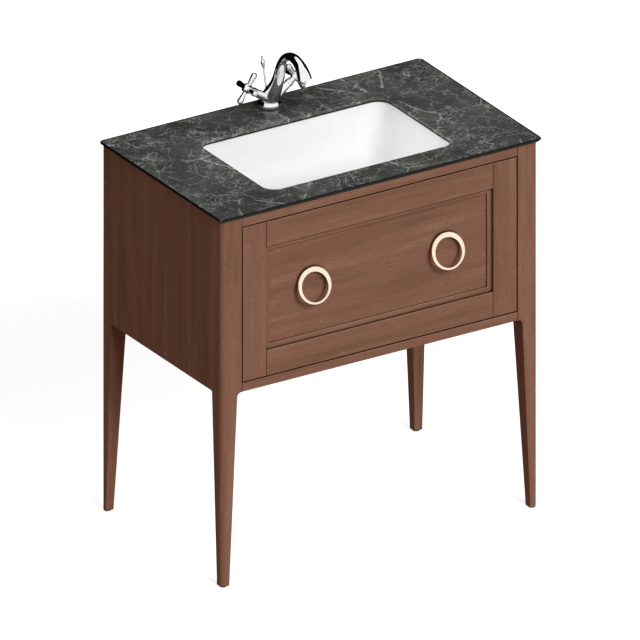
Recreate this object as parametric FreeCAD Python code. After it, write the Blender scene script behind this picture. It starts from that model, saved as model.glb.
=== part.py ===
import FreeCAD, Part
import math
import os

V = FreeCAD.Vector

# Vanity unit with one drawer, a stone worktop, an undermount basin and a swan-neck tap.
# Millimetres. +Z is up, the front faces -Y, and the origin is on the floor below the worktop's centre.

# Worktop
top_width = 800.0
top_depth = 485.0
top_height = 852.0
slab_thick = 10.0
slab_nose = 3.5
slab_overhang = 8.0
slab_under_corner = 4.0
slab_arris = 0.8
cutout_width = 462.0
cutout_corner = 30.0
cutout_front_margin = 75.0
cutout_back_margin = 121.0

# Posts, legs and carcass boards
carcass_height = 400.0
post_width = 50.0
post_round = 12.0
leg_top = 38.5
leg_foot = 19.0
leg_cove_front = 10.0
leg_cove_side = 4.0
glide_height = 3.0
glide_radius = 8.0
glide_bevel = 1.0
glide_spigot_radius = 2.5
glide_spigot_length = 8.0
glide_clear = 0.1
rail_height = 20.0
rail_depth = 40.0
back_rail_thick = 16.0
top_back_rail_height = 100.0
bottom_back_rail_height = 35.0
tenon_length = 25.0
tenon_shoulder = 4.0
side_thick = 18.0
side_tongue_thick = 8.0
side_tongue_length = 7.5
joint_clear = 0.3
edge_ease = 1.0
wall_hole_radius = 4.0
wall_hole_spacing = 500.0

# Drawer front
front_gap = 2.6
front_thick = 22.0
frame_width = 58.0
moulding_step = 6.0
moulding_width = 12.0
panel_step = 3.0
panel_thick = 9.0
groove_depth = 8.0
groove_clear = 0.5
groove_stop = 20.0

# Ring pulls
ring_inset = 116.0
ring_rise = 6.5
ring_outer = 40.5
ring_inner = 32.0
ring_offset = 3.3
ring_thick = 4.5
ring_bevel = 1.2
ring_lean = 18.0
ring_clear = 0.9
ring_post_turn = 25.0
ring_post_radius = 3.5
ring_screw_bite = 5.5
dish_margin = 1.0
dish_depth = 5.0

# Drawer box
box_back_gap = 55.0
box_headroom = 63.5
box_lift = 10.0
box_thick = 14.0
bottom_thick = 8.0
bottom_lift = 10.0
bottom_groove = 6.0
well_width = 240.0
well_margin = 77.0
well_thick = 12.0

# Drawer slides
slide_gap = 13.0
slide_height = 45.0
slide_end_gap = 1.0
slide_sheet = 1.2
slide_clear = 0.4
slide_lip = 1.2
slide_setback = 4.0
slide_rise = 60.0
batten_height = 60.0

# Screws
screw_radius = 2.0
screw_clear = 0.1
screw_head_radius = 4.0
screw_head_height = 2.4
screw_head_bevel = 1.2
front_screw_bite = 12.0
front_screw_inset = 15.0
front_screw_rise = 26.0
front_screw_drop = 34.0

# Basin
seal_thick = 1.5
seal_width = 14.0
seal_setback = 4.0
bowl_reveal = 3.0
bowl_depth = 135.0
bowl_draft = 22.0
bowl_corner = 38.0
bowl_floor_round = 36.0
bowl_wall = 8.0
rim_width = 22.0
rim_thick = 12.0
drain_radius = 23.0
clip_length = 20.0
clip_body = 16.0
clip_tongue = 10.0
clip_thick = 3.0
clip_gap = 0.5
clip_spacing_side = 150.0
clip_spacing_back = 300.0

# Waste and pop-up plug
flange_radius = 32.0
flange_thick = 3.0
flange_mouth = 25.5
flange_bevel = 2.0
tube_radius = 20.5
tube_bore = 17.5
tube_drop = 65.5
thread_clear = 0.1
washer_radius = 31.0
washer_thick = 5.0
nut_across = 58.0
nut_height = 12.0
body_radius = 25.0
body_socket = 34.0
body_drop = 28.0
port_radius = 11.0
port_bore = 7.0
port_drop = 14.0
port_reach = 40.0
ball_reach = 33.0
ball_radius = 6.7
pivot_nut_radius = 14.0
pivot_nut_height = 16.0
pivot_nut_wall = 4.0
pivot_nut_hole = 5.0
pivot_rod_radius = 2.5
pivot_rod_tip = 5.0
pivot_rod_tail = 14.0
plug_radius = 30.0
plug_lift = 0.3
plug_rim = 2.0
plug_height = 6.0
plug_crown = 18.0
plug_stem_radius = 3.5
plug_vane_radius = 16.8
plug_vane_thick = 2.0
plug_vane_height = 24.0
plug_eye_radius = 3.6
plug_eye_width = 12.0
plug_eye_height = 14.0
plug_eye_thick = 4.0

# Bottle trap
tail_radius = 16.0
pipe_wall = 2.5
pipe_clear = 0.3
spigot_step = 0.3
spigot_proud = 2.0
tail_length = 60.0
trap_radius = 29.0
trap_wall = 3.5
trap_height = 84.0
trap_neck_radius = 22.0
trap_neck_length = 14.0
trap_shoulder = 10.0
trap_outlet_drop = 38.0
trap_outlet_reach = 22.0
trap_nut_radius = 27.0
trap_nut_height = 16.0
cup_wall = 4.0
cup_overlap = 20.0
cup_depth = 42.0
cup_floor = 3.0
cup_round = 14.0

# Lift rod and its strap
rod_radius = 2.0
rod_tilt = 14.3
rod_setback = 2.7
rod_clear = 0.3
rod_top = 107.8
rod_travel = 30.0
rod_below = 135.0
finial_length = 28.0
finial_radius = 5.2
finial_swell = 13.0
finial_neck = 1.6
finial_ball = 2.7
strap_width = 12.0
strap_thick = 3.0
strap_overlap = 27.0
strap_hole = 4.5
strap_tail = 12.0
clamp_length = 14.0
clamp_margin = 4.0

# Tap
tap_setback = 39.5
gasket_thick = 1.5
gasket_radius = 24.0
base_radius = 26.0
base_height = 7.5
base_bevel = 1.0
base_shoulder = 1.5
shank_radius = 16.0
shank_clear = 0.1
shank_hole = 17.5
shank_below = 40.0
shank_socket = 11.0
inlet_radius = 4.5
inlet_depth = 14.0
inlet_spacing = 15.0
inlet_setback = 4.0
backnut_across = 40.0
backnut_height = 12.0
flare_radius = 24.0
flare_top_radius = 18.5
flare_height = 9.0
valve_tilt = 34.0
valve_height = 16.5
valve_forward = 8.0
arm_start = 8.0
arm_start_radius = 12.5
arm_end = 50.0
arm_end_radius = 8.0
bonnet_radius = 9.2
bonnet_waist = 7.0
bonnet_end = 66.0
spindle_radius = 4.0
spindle_clear = 0.06
spindle_length = 10.0
handle_gap = 0.4
hub_radius = 10.0
hub_length = 12.0
hub_dome = 6.0
petal_length = 37.5
petal_root = 3.6
petal_ball = 6.8
aerator_radius = 11.0
aerator_depth = 6.0
aerator_proud = 2.0
aerator_bore = 8.5
aerator_clear = 0.1

# Swan neck: forward distance from the tap's axis, height above the worktop, radius
neck_stations = [
    (0.0, 9.0, 21.0),
    (4.5, 22.0, 19.5),
    (17.5, 43.0, 17.0),
    (33.0, 70.0, 13.6),
    (39.5, 88.0, 12.4),
    (46.5, 111.0, 10.3),
    (68.0, 138.0, 8.8),
    (99.0, 146.0, 10.5),
    (125.5, 134.0, 13.0),
    (137.0, 120.5, 15.0),
    (140.5, 112.5, 15.5),
]

# Planes and levels worked out from the driving dimensions
slab_under = top_height - slab_thick
cutout_depth = top_depth - cutout_front_margin - cutout_back_margin
basin_y = (cutout_front_margin - cutout_back_margin) / 2
slab_corner = slab_under_corner + slab_overhang
carcass_bottom = slab_under - carcass_height
carcass_half = top_width / 2 - slab_overhang
front_face = slab_overhang - top_depth / 2
back_face = top_depth / 2
post_inner = carcass_half - post_width
side_front = front_face + post_width
side_back = back_face - post_width
front_half = post_inner - front_gap
front_bottom = carcass_bottom + rail_height + front_gap
front_top = slab_under - rail_height - front_gap
front_back = front_face + front_thick
frame_half = front_half - frame_width
ring_x = frame_half - ring_inset
frame_low = front_bottom + frame_width
frame_high = front_top - frame_width
moulding_face = front_face + moulding_step
panel_face = moulding_face + panel_step
panel_back = panel_face + panel_thick
groove_tongue = groove_depth - groove_clear
ring_height = (front_bottom + front_top) / 2 + ring_rise
ring_lean_sine = math.sin(math.radians(ring_lean))
ring_lean_cosine = math.cos(math.radians(ring_lean))
ring_stand = ring_clear + ring_outer * ring_lean_sine + ring_thick / 2 * ring_lean_cosine
ring_post_circle = (ring_outer + ring_inner - ring_offset) / 2
ring_post_reach = ring_post_circle * math.sin(math.radians(ring_post_turn))
ring_post_up = ring_post_circle * math.cos(math.radians(ring_post_turn))
ring_post_rise = ring_post_up * ring_lean_cosine
ring_post_length = ring_stand - ring_post_up * ring_lean_sine
box_half = post_inner - slide_gap
box_inner = box_half - box_thick
slide_front = front_back + slide_setback
rim_top = slab_under - seal_thick
bowl_floor = rim_top - bowl_depth
bowl_under = bowl_floor - bowl_wall
box_bottom = front_bottom + box_lift
box_top = bowl_under - box_headroom
box_back = back_face - box_back_gap
floor_low = box_bottom + bottom_lift
floor_high = floor_low + bottom_thick
slide_level = box_bottom + slide_rise
well_half = well_width / 2
well_front = basin_y - well_margin
flange_top = bowl_floor + flange_thick
tube_end = bowl_floor - tube_drop
body_top = tube_end + body_socket
body_low = tube_end - body_drop
port_level = tube_end - port_drop
ball_y = basin_y + ball_reach
tail_end = body_low - tail_length
trap_top = body_low - trap_shoulder
trap_low = trap_top - trap_height
outlet_level = trap_top - trap_outlet_drop
tap_y = back_face - tap_setback
body_seat = gasket_thick + base_height
rod_lean = math.radians(rod_tilt)
rod_axis = V(0, math.sin(rod_lean), math.cos(rod_lean))
rod_forward = V(0, -math.cos(rod_lean), math.sin(rod_lean))
rod_deck = V(0, tap_y + rod_setback, top_height)
strap_offset = rod_forward * (rod_radius + strap_thick / 2)
strap_middle = (port_level - rod_deck.z - strap_offset.z) / rod_axis.z
strap_eye = strap_middle + rod_travel / 2


# Basic shapes

def block(x0, x1, y0, y1, z0, z1):
    """A square-edged board between two corners."""
    return Part.makeBox(x1 - x0, y1 - y0, z1 - z0, V(x0, y0, z0))


def bar(start, direction, radius, length):
    """A round bar from a start point along a direction."""
    return Part.makeCylinder(radius, length, start, direction)


def pipe(start, direction, outer, bore, length):
    """A round pipe from a start point along a direction."""
    return bar(start, direction, outer, length).cut(bar(start, direction, bore, length))


def hexagon(centre, across, height):
    """A hexagonal prism standing on its centre point, with two flats facing front and back."""
    corner = across / math.sqrt(3)
    turns = [math.radians(60 * step) for step in range(7)]
    points = [centre + V(corner * math.cos(turn), corner * math.sin(turn), 0) for turn in turns]
    return Part.Face(Part.makePolygon(points)).extrude(V(0, 0, height))


def turned(profile, centre=V(0, 0, 0)):
    """A solid turned about the upright axis through a centre, from (radius, height) corners."""
    points = [V(radius, 0, height) for radius, height in profile]
    wire = Part.makePolygon(points + [points[0]])
    return turned_wire(wire, centre)


def turned_wire(wire, centre=V(0, 0, 0)):
    """A solid turned about the upright axis from a closed wire in the XZ plane."""
    solid = Part.Face(wire).revolve(V(0, 0, 0), V(0, 0, 1), 360)
    solid.translate(centre)
    return solid


def aimed(shape, origin, direction):
    """A shape modelled along +Z, moved to an origin and turned to point along a direction."""
    moved = shape.copy()
    moved.Placement = FreeCAD.Placement(origin, FreeCAD.Rotation(V(0, 0, 1), direction))
    return moved


def mirrored(shape):
    """The same shape on the other side of the unit."""
    return shape.mirror(V(0, 0, 0), V(1, 0, 0))


def pair(name, right):
    """The right-hand shape and its mirror image, as two named nodes."""
    return {name + "_right": right, name + "_left": mirrored(right)}


def outline(x0, x1, y0, y1, z, front_corner, back_corner):
    """A rectangle at one level, with round corners at the front and at the back."""
    corners = [
        (x1 - front_corner, y0 + front_corner, front_corner, -90),
        (x1 - back_corner, y1 - back_corner, back_corner, 0),
        (x0 + back_corner, y1 - back_corner, back_corner, 90),
        (x0 + front_corner, y0 + front_corner, front_corner, 180),
    ]
    arcs = []
    for x, y, radius, start in corners:
        turns = [math.radians(start + step) for step in (0, 45, 90)]
        arcs.append([V(x + radius * math.cos(t), y + radius * math.sin(t), z) for t in turns])
    edges = []
    for this, following in zip(arcs, arcs[1:] + arcs[:1]):
        edges.append(Part.Arc(*this).toShape())
        edges.append(Part.LineSegment(this[2], following[0]).toShape())
    return Part.Wire(edges)


def basin_outline(grow, z, corner):
    """An outline centred on the basin, larger than the cut-out by the same margin all round."""
    half_width = cutout_width / 2 + grow
    half_depth = cutout_depth / 2 + grow
    return outline(-half_width, half_width, basin_y - half_depth, basin_y + half_depth, z, corner, corner)


def slab_of(wire, height):
    """A flat plate with a given outline, rising by a height."""
    return Part.Face(wire).extrude(V(0, 0, height))


def edges_at(shape, test):
    """The edges of a shape whose end points all pass a test."""
    return [edge for edge in shape.Edges if all(test(vertex.Point) for vertex in edge.Vertexes)]


def eased_board(x0, x1, y0, y1, z0, z1):
    """A board with the four edges of its front face eased."""
    board = block(x0, x1, y0, y1, z0, z1)
    return board.makeFillet(edge_ease, edges_at(board, lambda point: abs(point.y - y0) < 1e-6))


def screw(seat, direction, length):
    """A pan-head screw with its head on a seat point and its shank along a direction."""
    head = bar(seat, direction * -1, screw_head_radius, screw_head_height)
    head = head.makeChamfer(screw_head_bevel, [head.Edges[0]])
    return head.fuse(bar(seat, direction, screw_radius, length)).removeSplitter()


def screw_hole(seat, direction, length):
    """The hole that a screw of this length needs."""
    return bar(seat, direction, screw_radius + screw_clear, length + screw_clear)


# Carcass

def rail_sections():
    """Each rail's name with its span in Y and Z."""
    front = (front_face, front_face + rail_depth)
    back = (back_face - back_rail_thick, back_face)
    return {
        "top_front_rail": front + (slab_under - rail_height, slab_under),
        "bottom_front_rail": front + (carcass_bottom, carcass_bottom + rail_height),
        "top_back_rail": back + (slab_under - top_back_rail_height, slab_under),
        "bottom_back_rail": back + (carcass_bottom, carcass_bottom + bottom_back_rail_height),
    }


def tenon(section, grow):
    """The tenon on a rail's right-hand end, or its mortise when grown."""
    y0, y1, z0, z1 = section
    inset = tenon_shoulder - grow
    reach = post_inner + tenon_length + grow
    return block(post_inner, reach, y0 + inset, y1 - inset, z0 + inset, z1 - inset)


def side_tongue(grow):
    """The tongues on a right-hand side panel's two upright edges, or their grooves when grown."""
    middle = carcass_half - side_thick / 2
    half = side_tongue_thick / 2 + grow
    reach = side_tongue_length + grow
    return block(middle - half, middle + half, side_front - reach, side_back + reach,
                 carcass_bottom, slab_under)


def leg_outline(cove):
    """A leg seen square on: distance from its outer face along X, height along Z."""
    reach = min(cove, post_width - leg_top)
    slant = reach * math.sqrt(0.5)
    foot = V(leg_foot, 0, glide_height)
    knee = V(leg_top, 0, carcass_bottom - reach)
    bend = V(leg_top + reach - slant, 0, carcass_bottom - reach + slant)
    shoulder = V(leg_top + reach, 0, carcass_bottom)
    inner_low = V(post_width, 0, carcass_bottom)
    inner_high = V(post_width, 0, slab_under)
    outer_high = V(0, 0, slab_under)
    outer_low = V(0, 0, glide_height)
    edges = [
        Part.LineSegment(outer_low, foot).toShape(),
        Part.LineSegment(foot, knee).toShape(),
        Part.Arc(knee, bend, shoulder).toShape(),
    ]
    rest = [shoulder, inner_low, inner_high, outer_high, outer_low]
    if shoulder.isEqual(inner_low, 1e-6):
        rest = rest[1:]
    edges += [Part.LineSegment(a, b).toShape() for a, b in zip(rest, rest[1:])]
    return Part.Face(Part.Wire(edges))


def plain_leg():
    """One post and leg with its outer corner at the origin, tapering on its two inner faces."""
    front_view = leg_outline(leg_cove_front).extrude(V(0, post_width, 0))
    side_view = leg_outline(leg_cove_side).extrude(V(0, post_width, 0))
    side_view.rotate(V(0, 0, 0), V(0, 0, 1), 90)
    side_view.translate(V(post_width, 0, 0))
    leg = front_view.common(side_view)
    outer = edges_at(leg, lambda point: math.hypot(point.x, point.y) < 1e-6)
    leg = leg.makeFillet(post_round, outer)
    spigot = bar(V(leg_foot / 2, leg_foot / 2, glide_height), V(0, 0, 1),
                 glide_spigot_radius + glide_clear, glide_spigot_length + glide_clear)
    return leg.cut(spigot)


def plain_glide():
    """A nail-in glide under a leg whose outer corner is at the origin."""
    centre = V(leg_foot / 2, leg_foot / 2, 0)
    disc = bar(centre, V(0, 0, 1), glide_radius, glide_height)
    disc = disc.makeChamfer(glide_bevel, [edge for edge in disc.Edges if edge.BoundBox.ZMax < 1e-6])
    spigot = bar(centre, V(0, 0, 1), glide_spigot_radius, glide_height + glide_spigot_length)
    return disc.fuse(spigot).removeSplitter()


def at_corner(shape, at_back):
    """A corner piece modelled at the origin, moved to the right-hand front or back corner."""
    placed = shape.mirror(V(0, 0, 0), V(1, 0, 0))
    if at_back:
        placed = placed.mirror(V(0, 0, 0), V(0, 1, 0))
    placed.translate(V(carcass_half, back_face if at_back else front_face, 0))
    return placed


def legs_and_glides():
    """The four post-and-leg pieces, with their joints cut, and the glides under them."""
    sections = rail_sections()
    nodes = {}
    glides = []
    for place, at_back in (("front", False), ("back", True)):
        mortises = [tenon(sections[name], joint_clear) for name in sections if place in name]
        leg = at_corner(plain_leg(), at_back).cut(mortises + [side_tongue(joint_clear)])
        nodes.update(pair("leg_" + place, leg))
        glide = at_corner(plain_glide(), at_back)
        glides += [glide, mirrored(glide)]
    nodes["foot_glides"] = Part.makeCompound(glides)
    return nodes


def carcass_boards():
    """Rails tenoned into the posts, side panels tongued into them, and the slide battens."""
    nodes = {}
    for name, section in rail_sections().items():
        make = eased_board if "front" in name else block
        end = tenon(section, 0)
        nodes[name] = make(-post_inner, post_inner, *section).fuse([end, mirrored(end)])
    wall_level = slab_under - top_back_rail_height / 2
    for x in (-wall_hole_spacing / 2, wall_hole_spacing / 2):
        start = V(x, back_face - back_rail_thick, wall_level)
        hole = bar(start, V(0, 1, 0), wall_hole_radius, back_rail_thick)
        nodes["top_back_rail"] = nodes["top_back_rail"].cut(hole)
    side = block(carcass_half - side_thick, carcass_half, side_front, side_back, carcass_bottom, slab_under)
    nodes.update(pair("side_panel", side.fuse(side_tongue(0))))
    batten = block(post_inner, carcass_half - side_thick, side_front, side_back,
                   slide_level - batten_height / 2, slide_level + batten_height / 2)
    nodes["slide_battens"] = Part.makeCompound([batten, mirrored(batten)])
    return nodes


# Drawer slides

def channel(web_out, web_in, tip, half):
    """A right-hand slide member: a sheet channel, placed by distances in from the post's face."""
    side = half - slide_sheet
    corners = [
        (web_out, -half), (tip, -half), (tip, -side), (web_in, -side),
        (web_in, side), (tip, side), (tip, half), (web_out, half),
    ]
    points = [V(post_inner - inward, slide_front, slide_level + rise) for inward, rise in corners]
    length = side_back - slide_end_gap - slide_front
    return Part.Face(Part.makePolygon(points + [points[0]])).extrude(V(0, length, 0))


def slides():
    """Three nested members on each side: on the cabinet, in the middle and on the drawer."""
    middle_out = slide_sheet + slide_clear
    middle_in = middle_out + slide_sheet
    middle_tip = slide_gap - slide_sheet - slide_lip
    drawer_tip = middle_in + slide_clear
    half = slide_height / 2
    nest = slide_sheet + slide_clear
    members = {
        "slide_cabinet": channel(0, slide_sheet, middle_tip - slide_lip, half),
        "slide_middle": channel(middle_out, middle_in, middle_tip, half - nest),
        "slide_drawer": channel(slide_gap, slide_gap - slide_sheet, drawer_tip, half - 2 * nest),
    }
    nodes = {}
    for name, member in members.items():
        nodes.update(pair(name, member))
    return nodes


# Worktop and basin

def countertop():
    """The stone slab: a thin nose, an undercut bevel at the front and sides, and two openings."""
    half_width = top_width / 2
    half_depth = top_depth / 2
    nose_level = top_height - slab_nose
    edge = outline(-half_width, half_width, -half_depth, half_depth, nose_level, slab_corner, slab_corner)
    under = outline(-carcass_half, carcass_half, front_face, back_face, slab_under,
                    slab_under_corner, slab_corner)
    slab = Part.makeLoft([under, edge], True, True).fuse(slab_of(edge, slab_nose)).removeSplitter()
    slab = slab.cut(slab_of(basin_outline(0, slab_under, cutout_corner), slab_thick))
    slab = slab.makeChamfer(slab_arris, edges_at(slab, lambda point: abs(point.z - top_height) < 1e-6))
    return slab.cut(bar(V(0, tap_y, slab_under), V(0, 0, 1), shank_hole, slab_thick))


def bowl_form(wall):
    """The bowl's hollow, or its outside when a wall is given: drafted walls, round corners and floor."""
    top_x = cutout_width / 2 + bowl_reveal + wall
    top_y = cutout_depth / 2 + bowl_reveal + wall
    low_x = top_x - bowl_draft
    low_y = top_y - bowl_draft
    depth = bowl_depth + wall
    form = Part.makeWedge(-low_x, 0, -low_y, -top_y, -top_x, low_x, depth, low_y, top_y, top_x)
    form.rotate(V(0, 0, 0), V(1, 0, 0), 90)
    form.translate(V(0, basin_y, rim_top - depth))
    slanted = [edge for edge in form.Edges if edge.BoundBox.ZLength > depth / 2]
    form = form.makeFillet(bowl_corner + wall, slanted)
    floor = edges_at(form, lambda point: abs(point.z - rim_top + depth) < 1e-6)
    return form.makeFillet(bowl_floor_round + wall, floor)


def basin():
    """The glazed bowl with its flat rim, hung below the slab, and the drain hole in its floor."""
    rim_edge = basin_outline(bowl_reveal + rim_width, rim_top - rim_thick, cutout_corner + rim_width)
    rim = slab_of(rim_edge, rim_thick)
    drain = bar(V(0, basin_y, bowl_under), V(0, 0, 1), drain_radius, bowl_wall + flange_thick)
    return rim.fuse(bowl_form(bowl_wall)).cut([bowl_form(0), drain])


def basin_seal():
    """The silicone bead between the rim and the slab."""
    inner = slab_of(basin_outline(seal_setback, rim_top, cutout_corner + seal_setback), seal_thick)
    margin = seal_setback + seal_width
    return slab_of(basin_outline(margin, rim_top, cutout_corner + margin), seal_thick).cut(inner)


def basin_clips():
    """Clips fixed below the slab that hold the rim up, on both sides and at the back."""
    rim_low = rim_top - rim_thick
    low = rim_low - clip_thick
    corners = [
        (-clip_tongue, low), (clip_body, low), (clip_body, slab_under),
        (clip_gap, slab_under), (clip_gap, rim_low), (-clip_tongue, rim_low),
    ]
    points = [V(outward, -clip_length / 2, level) for outward, level in corners]
    clip = Part.Face(Part.makePolygon(points + [points[0]])).extrude(V(0, clip_length, 0))
    reach = bowl_reveal + rim_width
    clips = []
    for offset in (-clip_spacing_side / 2, clip_spacing_side / 2):
        at_side = clip.copy()
        at_side.translate(V(cutout_width / 2 + reach, basin_y + offset, 0))
        clips += [at_side, mirrored(at_side)]
    for x in (-clip_spacing_back / 2, clip_spacing_back / 2):
        at_back = clip.copy()
        at_back.rotate(V(0, 0, 0), V(0, 0, 1), 90)
        at_back.translate(V(x, basin_y + cutout_depth / 2 + reach, 0))
        clips.append(at_back)
    return Part.makeCompound(clips)


# Waste, pop-up plug and trap

def waste_fittings():
    """The flange with its threaded tube, the washer and nut below the basin, and the tee body."""
    drain = V(0, basin_y, 0)
    mouth_depth_below = flange_mouth - tube_bore
    flange = turned([
        (tube_bore, tube_end), (tube_radius, tube_end), (tube_radius, bowl_floor),
        (flange_radius, bowl_floor), (flange_radius, flange_top - flange_bevel),
        (flange_radius - flange_bevel, flange_top), (flange_mouth, flange_top),
        (tube_bore, flange_top - mouth_depth_below),
    ], drain)
    bore = tube_radius + thread_clear
    washer_low = bowl_under - washer_thick
    washer = pipe(V(0, basin_y, washer_low), V(0, 0, 1), washer_radius, bore, washer_thick)
    nut_low = V(0, basin_y, washer_low - nut_height)
    nut = hexagon(nut_low, nut_across, nut_height).cut(bar(nut_low, V(0, 0, 1), bore, nut_height))
    tail_bore = tail_radius - pipe_wall
    step = body_radius - tail_radius
    outside = turned([
        (0, body_top), (body_radius, body_top), (body_radius, body_low + step), (tail_radius, body_low),
        (tail_radius, tail_end), (0, tail_end),
    ], drain)
    inside = turned([
        (0, body_top), (bore, body_top), (bore, tube_end), (tube_bore, tube_end),
        (tube_bore, body_low + step), (tail_bore, body_low), (tail_bore, tail_end), (0, tail_end),
    ], drain)
    port = V(0, basin_y, port_level)
    body = outside.fuse(bar(port, V(0, 1, 0), port_radius, port_reach))
    body = body.cut([inside, bar(port, V(0, 1, 0), port_bore, port_reach)]).removeSplitter()
    return {"waste_flange": flange, "waste_washer": washer, "waste_nut": nut, "waste_body": body}


def pivot_nut():
    """The cap nut that keeps the pivot ball in its port."""
    start = V(0, basin_y + port_reach + pivot_nut_wall - pivot_nut_height, port_level)
    cap = bar(start, V(0, 1, 0), pivot_nut_radius, pivot_nut_height)
    thread = bar(start, V(0, 1, 0), port_radius + thread_clear, pivot_nut_height - pivot_nut_wall)
    return cap.cut([thread, bar(start, V(0, 1, 0), pivot_nut_hole, pivot_nut_height)])


def trap():
    """The bottle trap: head, screw-on cup, outlet pipe to the wall and its two nuts."""
    drain = V(0, basin_y, 0)
    bore = tail_radius + pipe_clear
    hollow = trap_radius - trap_wall
    neck_low = trap_top - trap_neck_length
    head = turned([
        (bore, trap_top), (trap_neck_radius, trap_top), (trap_neck_radius, neck_low),
        (trap_radius, neck_low - trap_wall), (trap_radius, trap_low), (hollow, trap_low),
        (hollow, neck_low - 2 * trap_wall), (bore, neck_low - trap_wall),
    ], drain)
    outlet = V(0, basin_y, outlet_level)
    neck_end = trap_radius + trap_outlet_reach
    neck = bar(outlet, V(0, 1, 0), trap_neck_radius, neck_end)
    neck = neck.cut(bar(V(0, basin_y, trap_low), V(0, 0, 1), hollow, trap_height))
    spigot = tail_radius - spigot_step
    side_bore = spigot + pipe_clear
    head = head.fuse(neck).cut(bar(outlet, V(0, 1, 0), side_bore, neck_end)).removeSplitter()
    cup_bore = trap_radius + pipe_clear
    cup_radius = cup_bore + cup_wall
    cup_top = trap_low + cup_overlap
    cup_low = trap_low - cup_depth
    cup = turned([
        (cup_bore, cup_top), (cup_radius, cup_top), (cup_radius, cup_low + cup_round),
        (cup_radius - cup_round, cup_low), (0, cup_low), (0, cup_low + cup_floor),
        (cup_radius - cup_round - cup_floor, cup_low + cup_floor),
        (hollow, cup_low + cup_round + cup_floor), (hollow, trap_low), (cup_bore, trap_low),
    ], drain)
    nut_half = trap_nut_height / 2
    pipe_start = V(0, basin_y + trap_radius, outlet_level)
    spigot_length = trap_outlet_reach + nut_half + spigot_proud
    pipe_step = pipe_start + V(0, spigot_length, 0)
    pipe_bore = tail_radius - pipe_wall
    outlet_pipe = pipe(pipe_start, V(0, 1, 0), spigot, pipe_bore, spigot_length)
    to_wall = pipe(pipe_step, V(0, 1, 0), tail_radius, pipe_bore, back_face - pipe_step.y)
    outlet_pipe = outlet_pipe.fuse(to_wall)
    nuts = []
    top_nut = V(0, basin_y, trap_top - nut_half)
    side_nut = V(0, basin_y + neck_end - nut_half, outlet_level)
    for start, direction, hole in ((top_nut, V(0, 0, 1), bore), (side_nut, V(0, 1, 0), side_bore)):
        nut = pipe(start, direction, trap_nut_radius, hole, trap_nut_height)
        nuts.append(nut.cut(bar(start, direction, trap_neck_radius + thread_clear, nut_half)))
    return {"trap_head": head, "trap_cup": cup, "trap_outlet_pipe": outlet_pipe.removeSplitter(),
            "trap_nuts": Part.makeCompound(nuts)}


def strap_point(along):
    """A point in the middle of the strap, at a distance along the lift rod from the worktop."""
    return rod_deck + rod_axis * along + strap_offset


def pivot_angle():
    """The pivot rod's slope at rest, with the lift rod raised."""
    eye = strap_point(strap_eye)
    return math.atan2(eye.z - port_level, eye.y - ball_y)


def pivot_rod():
    """The rod with its ball, from below the plug to past the strap."""
    slope = pivot_angle()
    direction = V(0, math.cos(slope), math.sin(slope))
    ball = V(0, ball_y, port_level)
    inner = ball_reach + pivot_rod_tip
    eye = strap_point(strap_eye)
    outer = (eye.y - ball_y) / math.cos(slope) + pivot_rod_tail
    rod = bar(ball - direction * inner, direction, pivot_rod_radius, inner + outer)
    return rod.fuse(Part.makeSphere(ball_radius, ball)).removeSplitter()


def waste_plug():
    """The pop-up plug: a domed cap, guide vanes and a stem with an eye for the pivot rod."""
    cap_low = flange_top + plug_lift
    cap_high = cap_low + plug_height
    eye_level = port_level - ball_reach * math.tan(pivot_angle())
    cap = turned([
        (0, cap_low), (plug_radius, cap_low), (plug_radius, cap_low + plug_rim),
        (plug_crown, cap_high), (0, cap_high),
    ], V(0, basin_y, 0))
    eye_top = eye_level + plug_eye_height / 2
    stem = bar(V(0, basin_y, eye_top - plug_eye_thick), V(0, 0, 1), plug_stem_radius,
               cap_low - eye_top + plug_eye_thick)
    vane_high = flange_top - flange_mouth + tube_bore
    vane_low = vane_high - plug_vane_height
    half = plug_vane_thick / 2
    vanes = [
        block(-plug_vane_radius, plug_vane_radius, basin_y - half, basin_y + half, vane_low, vane_high),
        block(-half, half, basin_y - plug_vane_radius, basin_y + plug_vane_radius, vane_low, vane_high),
    ]
    eye = block(-plug_eye_width / 2, plug_eye_width / 2, basin_y - plug_eye_thick / 2,
                basin_y + plug_eye_thick / 2, eye_level - plug_eye_height / 2, eye_top)
    hole = bar(V(0, basin_y - plug_eye_width, eye_level), V(0, 1, 0), plug_eye_radius, 2 * plug_eye_width)
    return cap.fuse(vanes + [stem, eye]).cut(hole).removeSplitter()


def dome_arc(radius, level, rise):
    """An arc from a rim on the right up to a crown on the axis."""
    sphere = (radius * radius + rise * rise) / (2 * rise)
    half_turn = math.asin(radius / sphere) / 2
    middle = V(sphere * math.sin(half_turn), 0, level + rise - sphere + sphere * math.cos(half_turn))
    return Part.Arc(V(radius, 0, level), middle, V(0, 0, level + rise)).toShape()


def ball_end(start, start_radius, tip, ball_radius):
    """The side of a turned end: a straight taper that runs smoothly into a ball ending at the tip."""
    centre = tip - ball_radius
    span = centre - start
    reach = math.hypot(span, start_radius)
    turn = math.atan2(start_radius, -span) - math.acos(ball_radius / reach)
    touch = V(ball_radius * math.sin(turn), 0, centre + ball_radius * math.cos(turn))
    middle = V(ball_radius * math.sin(turn / 2), 0, centre + ball_radius * math.cos(turn / 2))
    taper = Part.LineSegment(V(start_radius, 0, start), touch)
    return [taper.toShape(), Part.Arc(touch, middle, V(0, 0, tip)).toShape()]


def lift_rod():
    """The leaning rod with its teardrop finial and the small ball on top."""
    base = rod_top - finial_length
    ball = V(0, 0, rod_top - finial_ball)
    rod = turned([
        (0, -rod_below), (rod_radius, -rod_below), (rod_radius, base),
        (finial_radius, base + finial_swell), (finial_neck, ball.z), (0, ball.z),
    ])
    return aimed(rod.fuse(Part.makeSphere(finial_ball, ball)).removeSplitter(), rod_deck, rod_axis)


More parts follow.
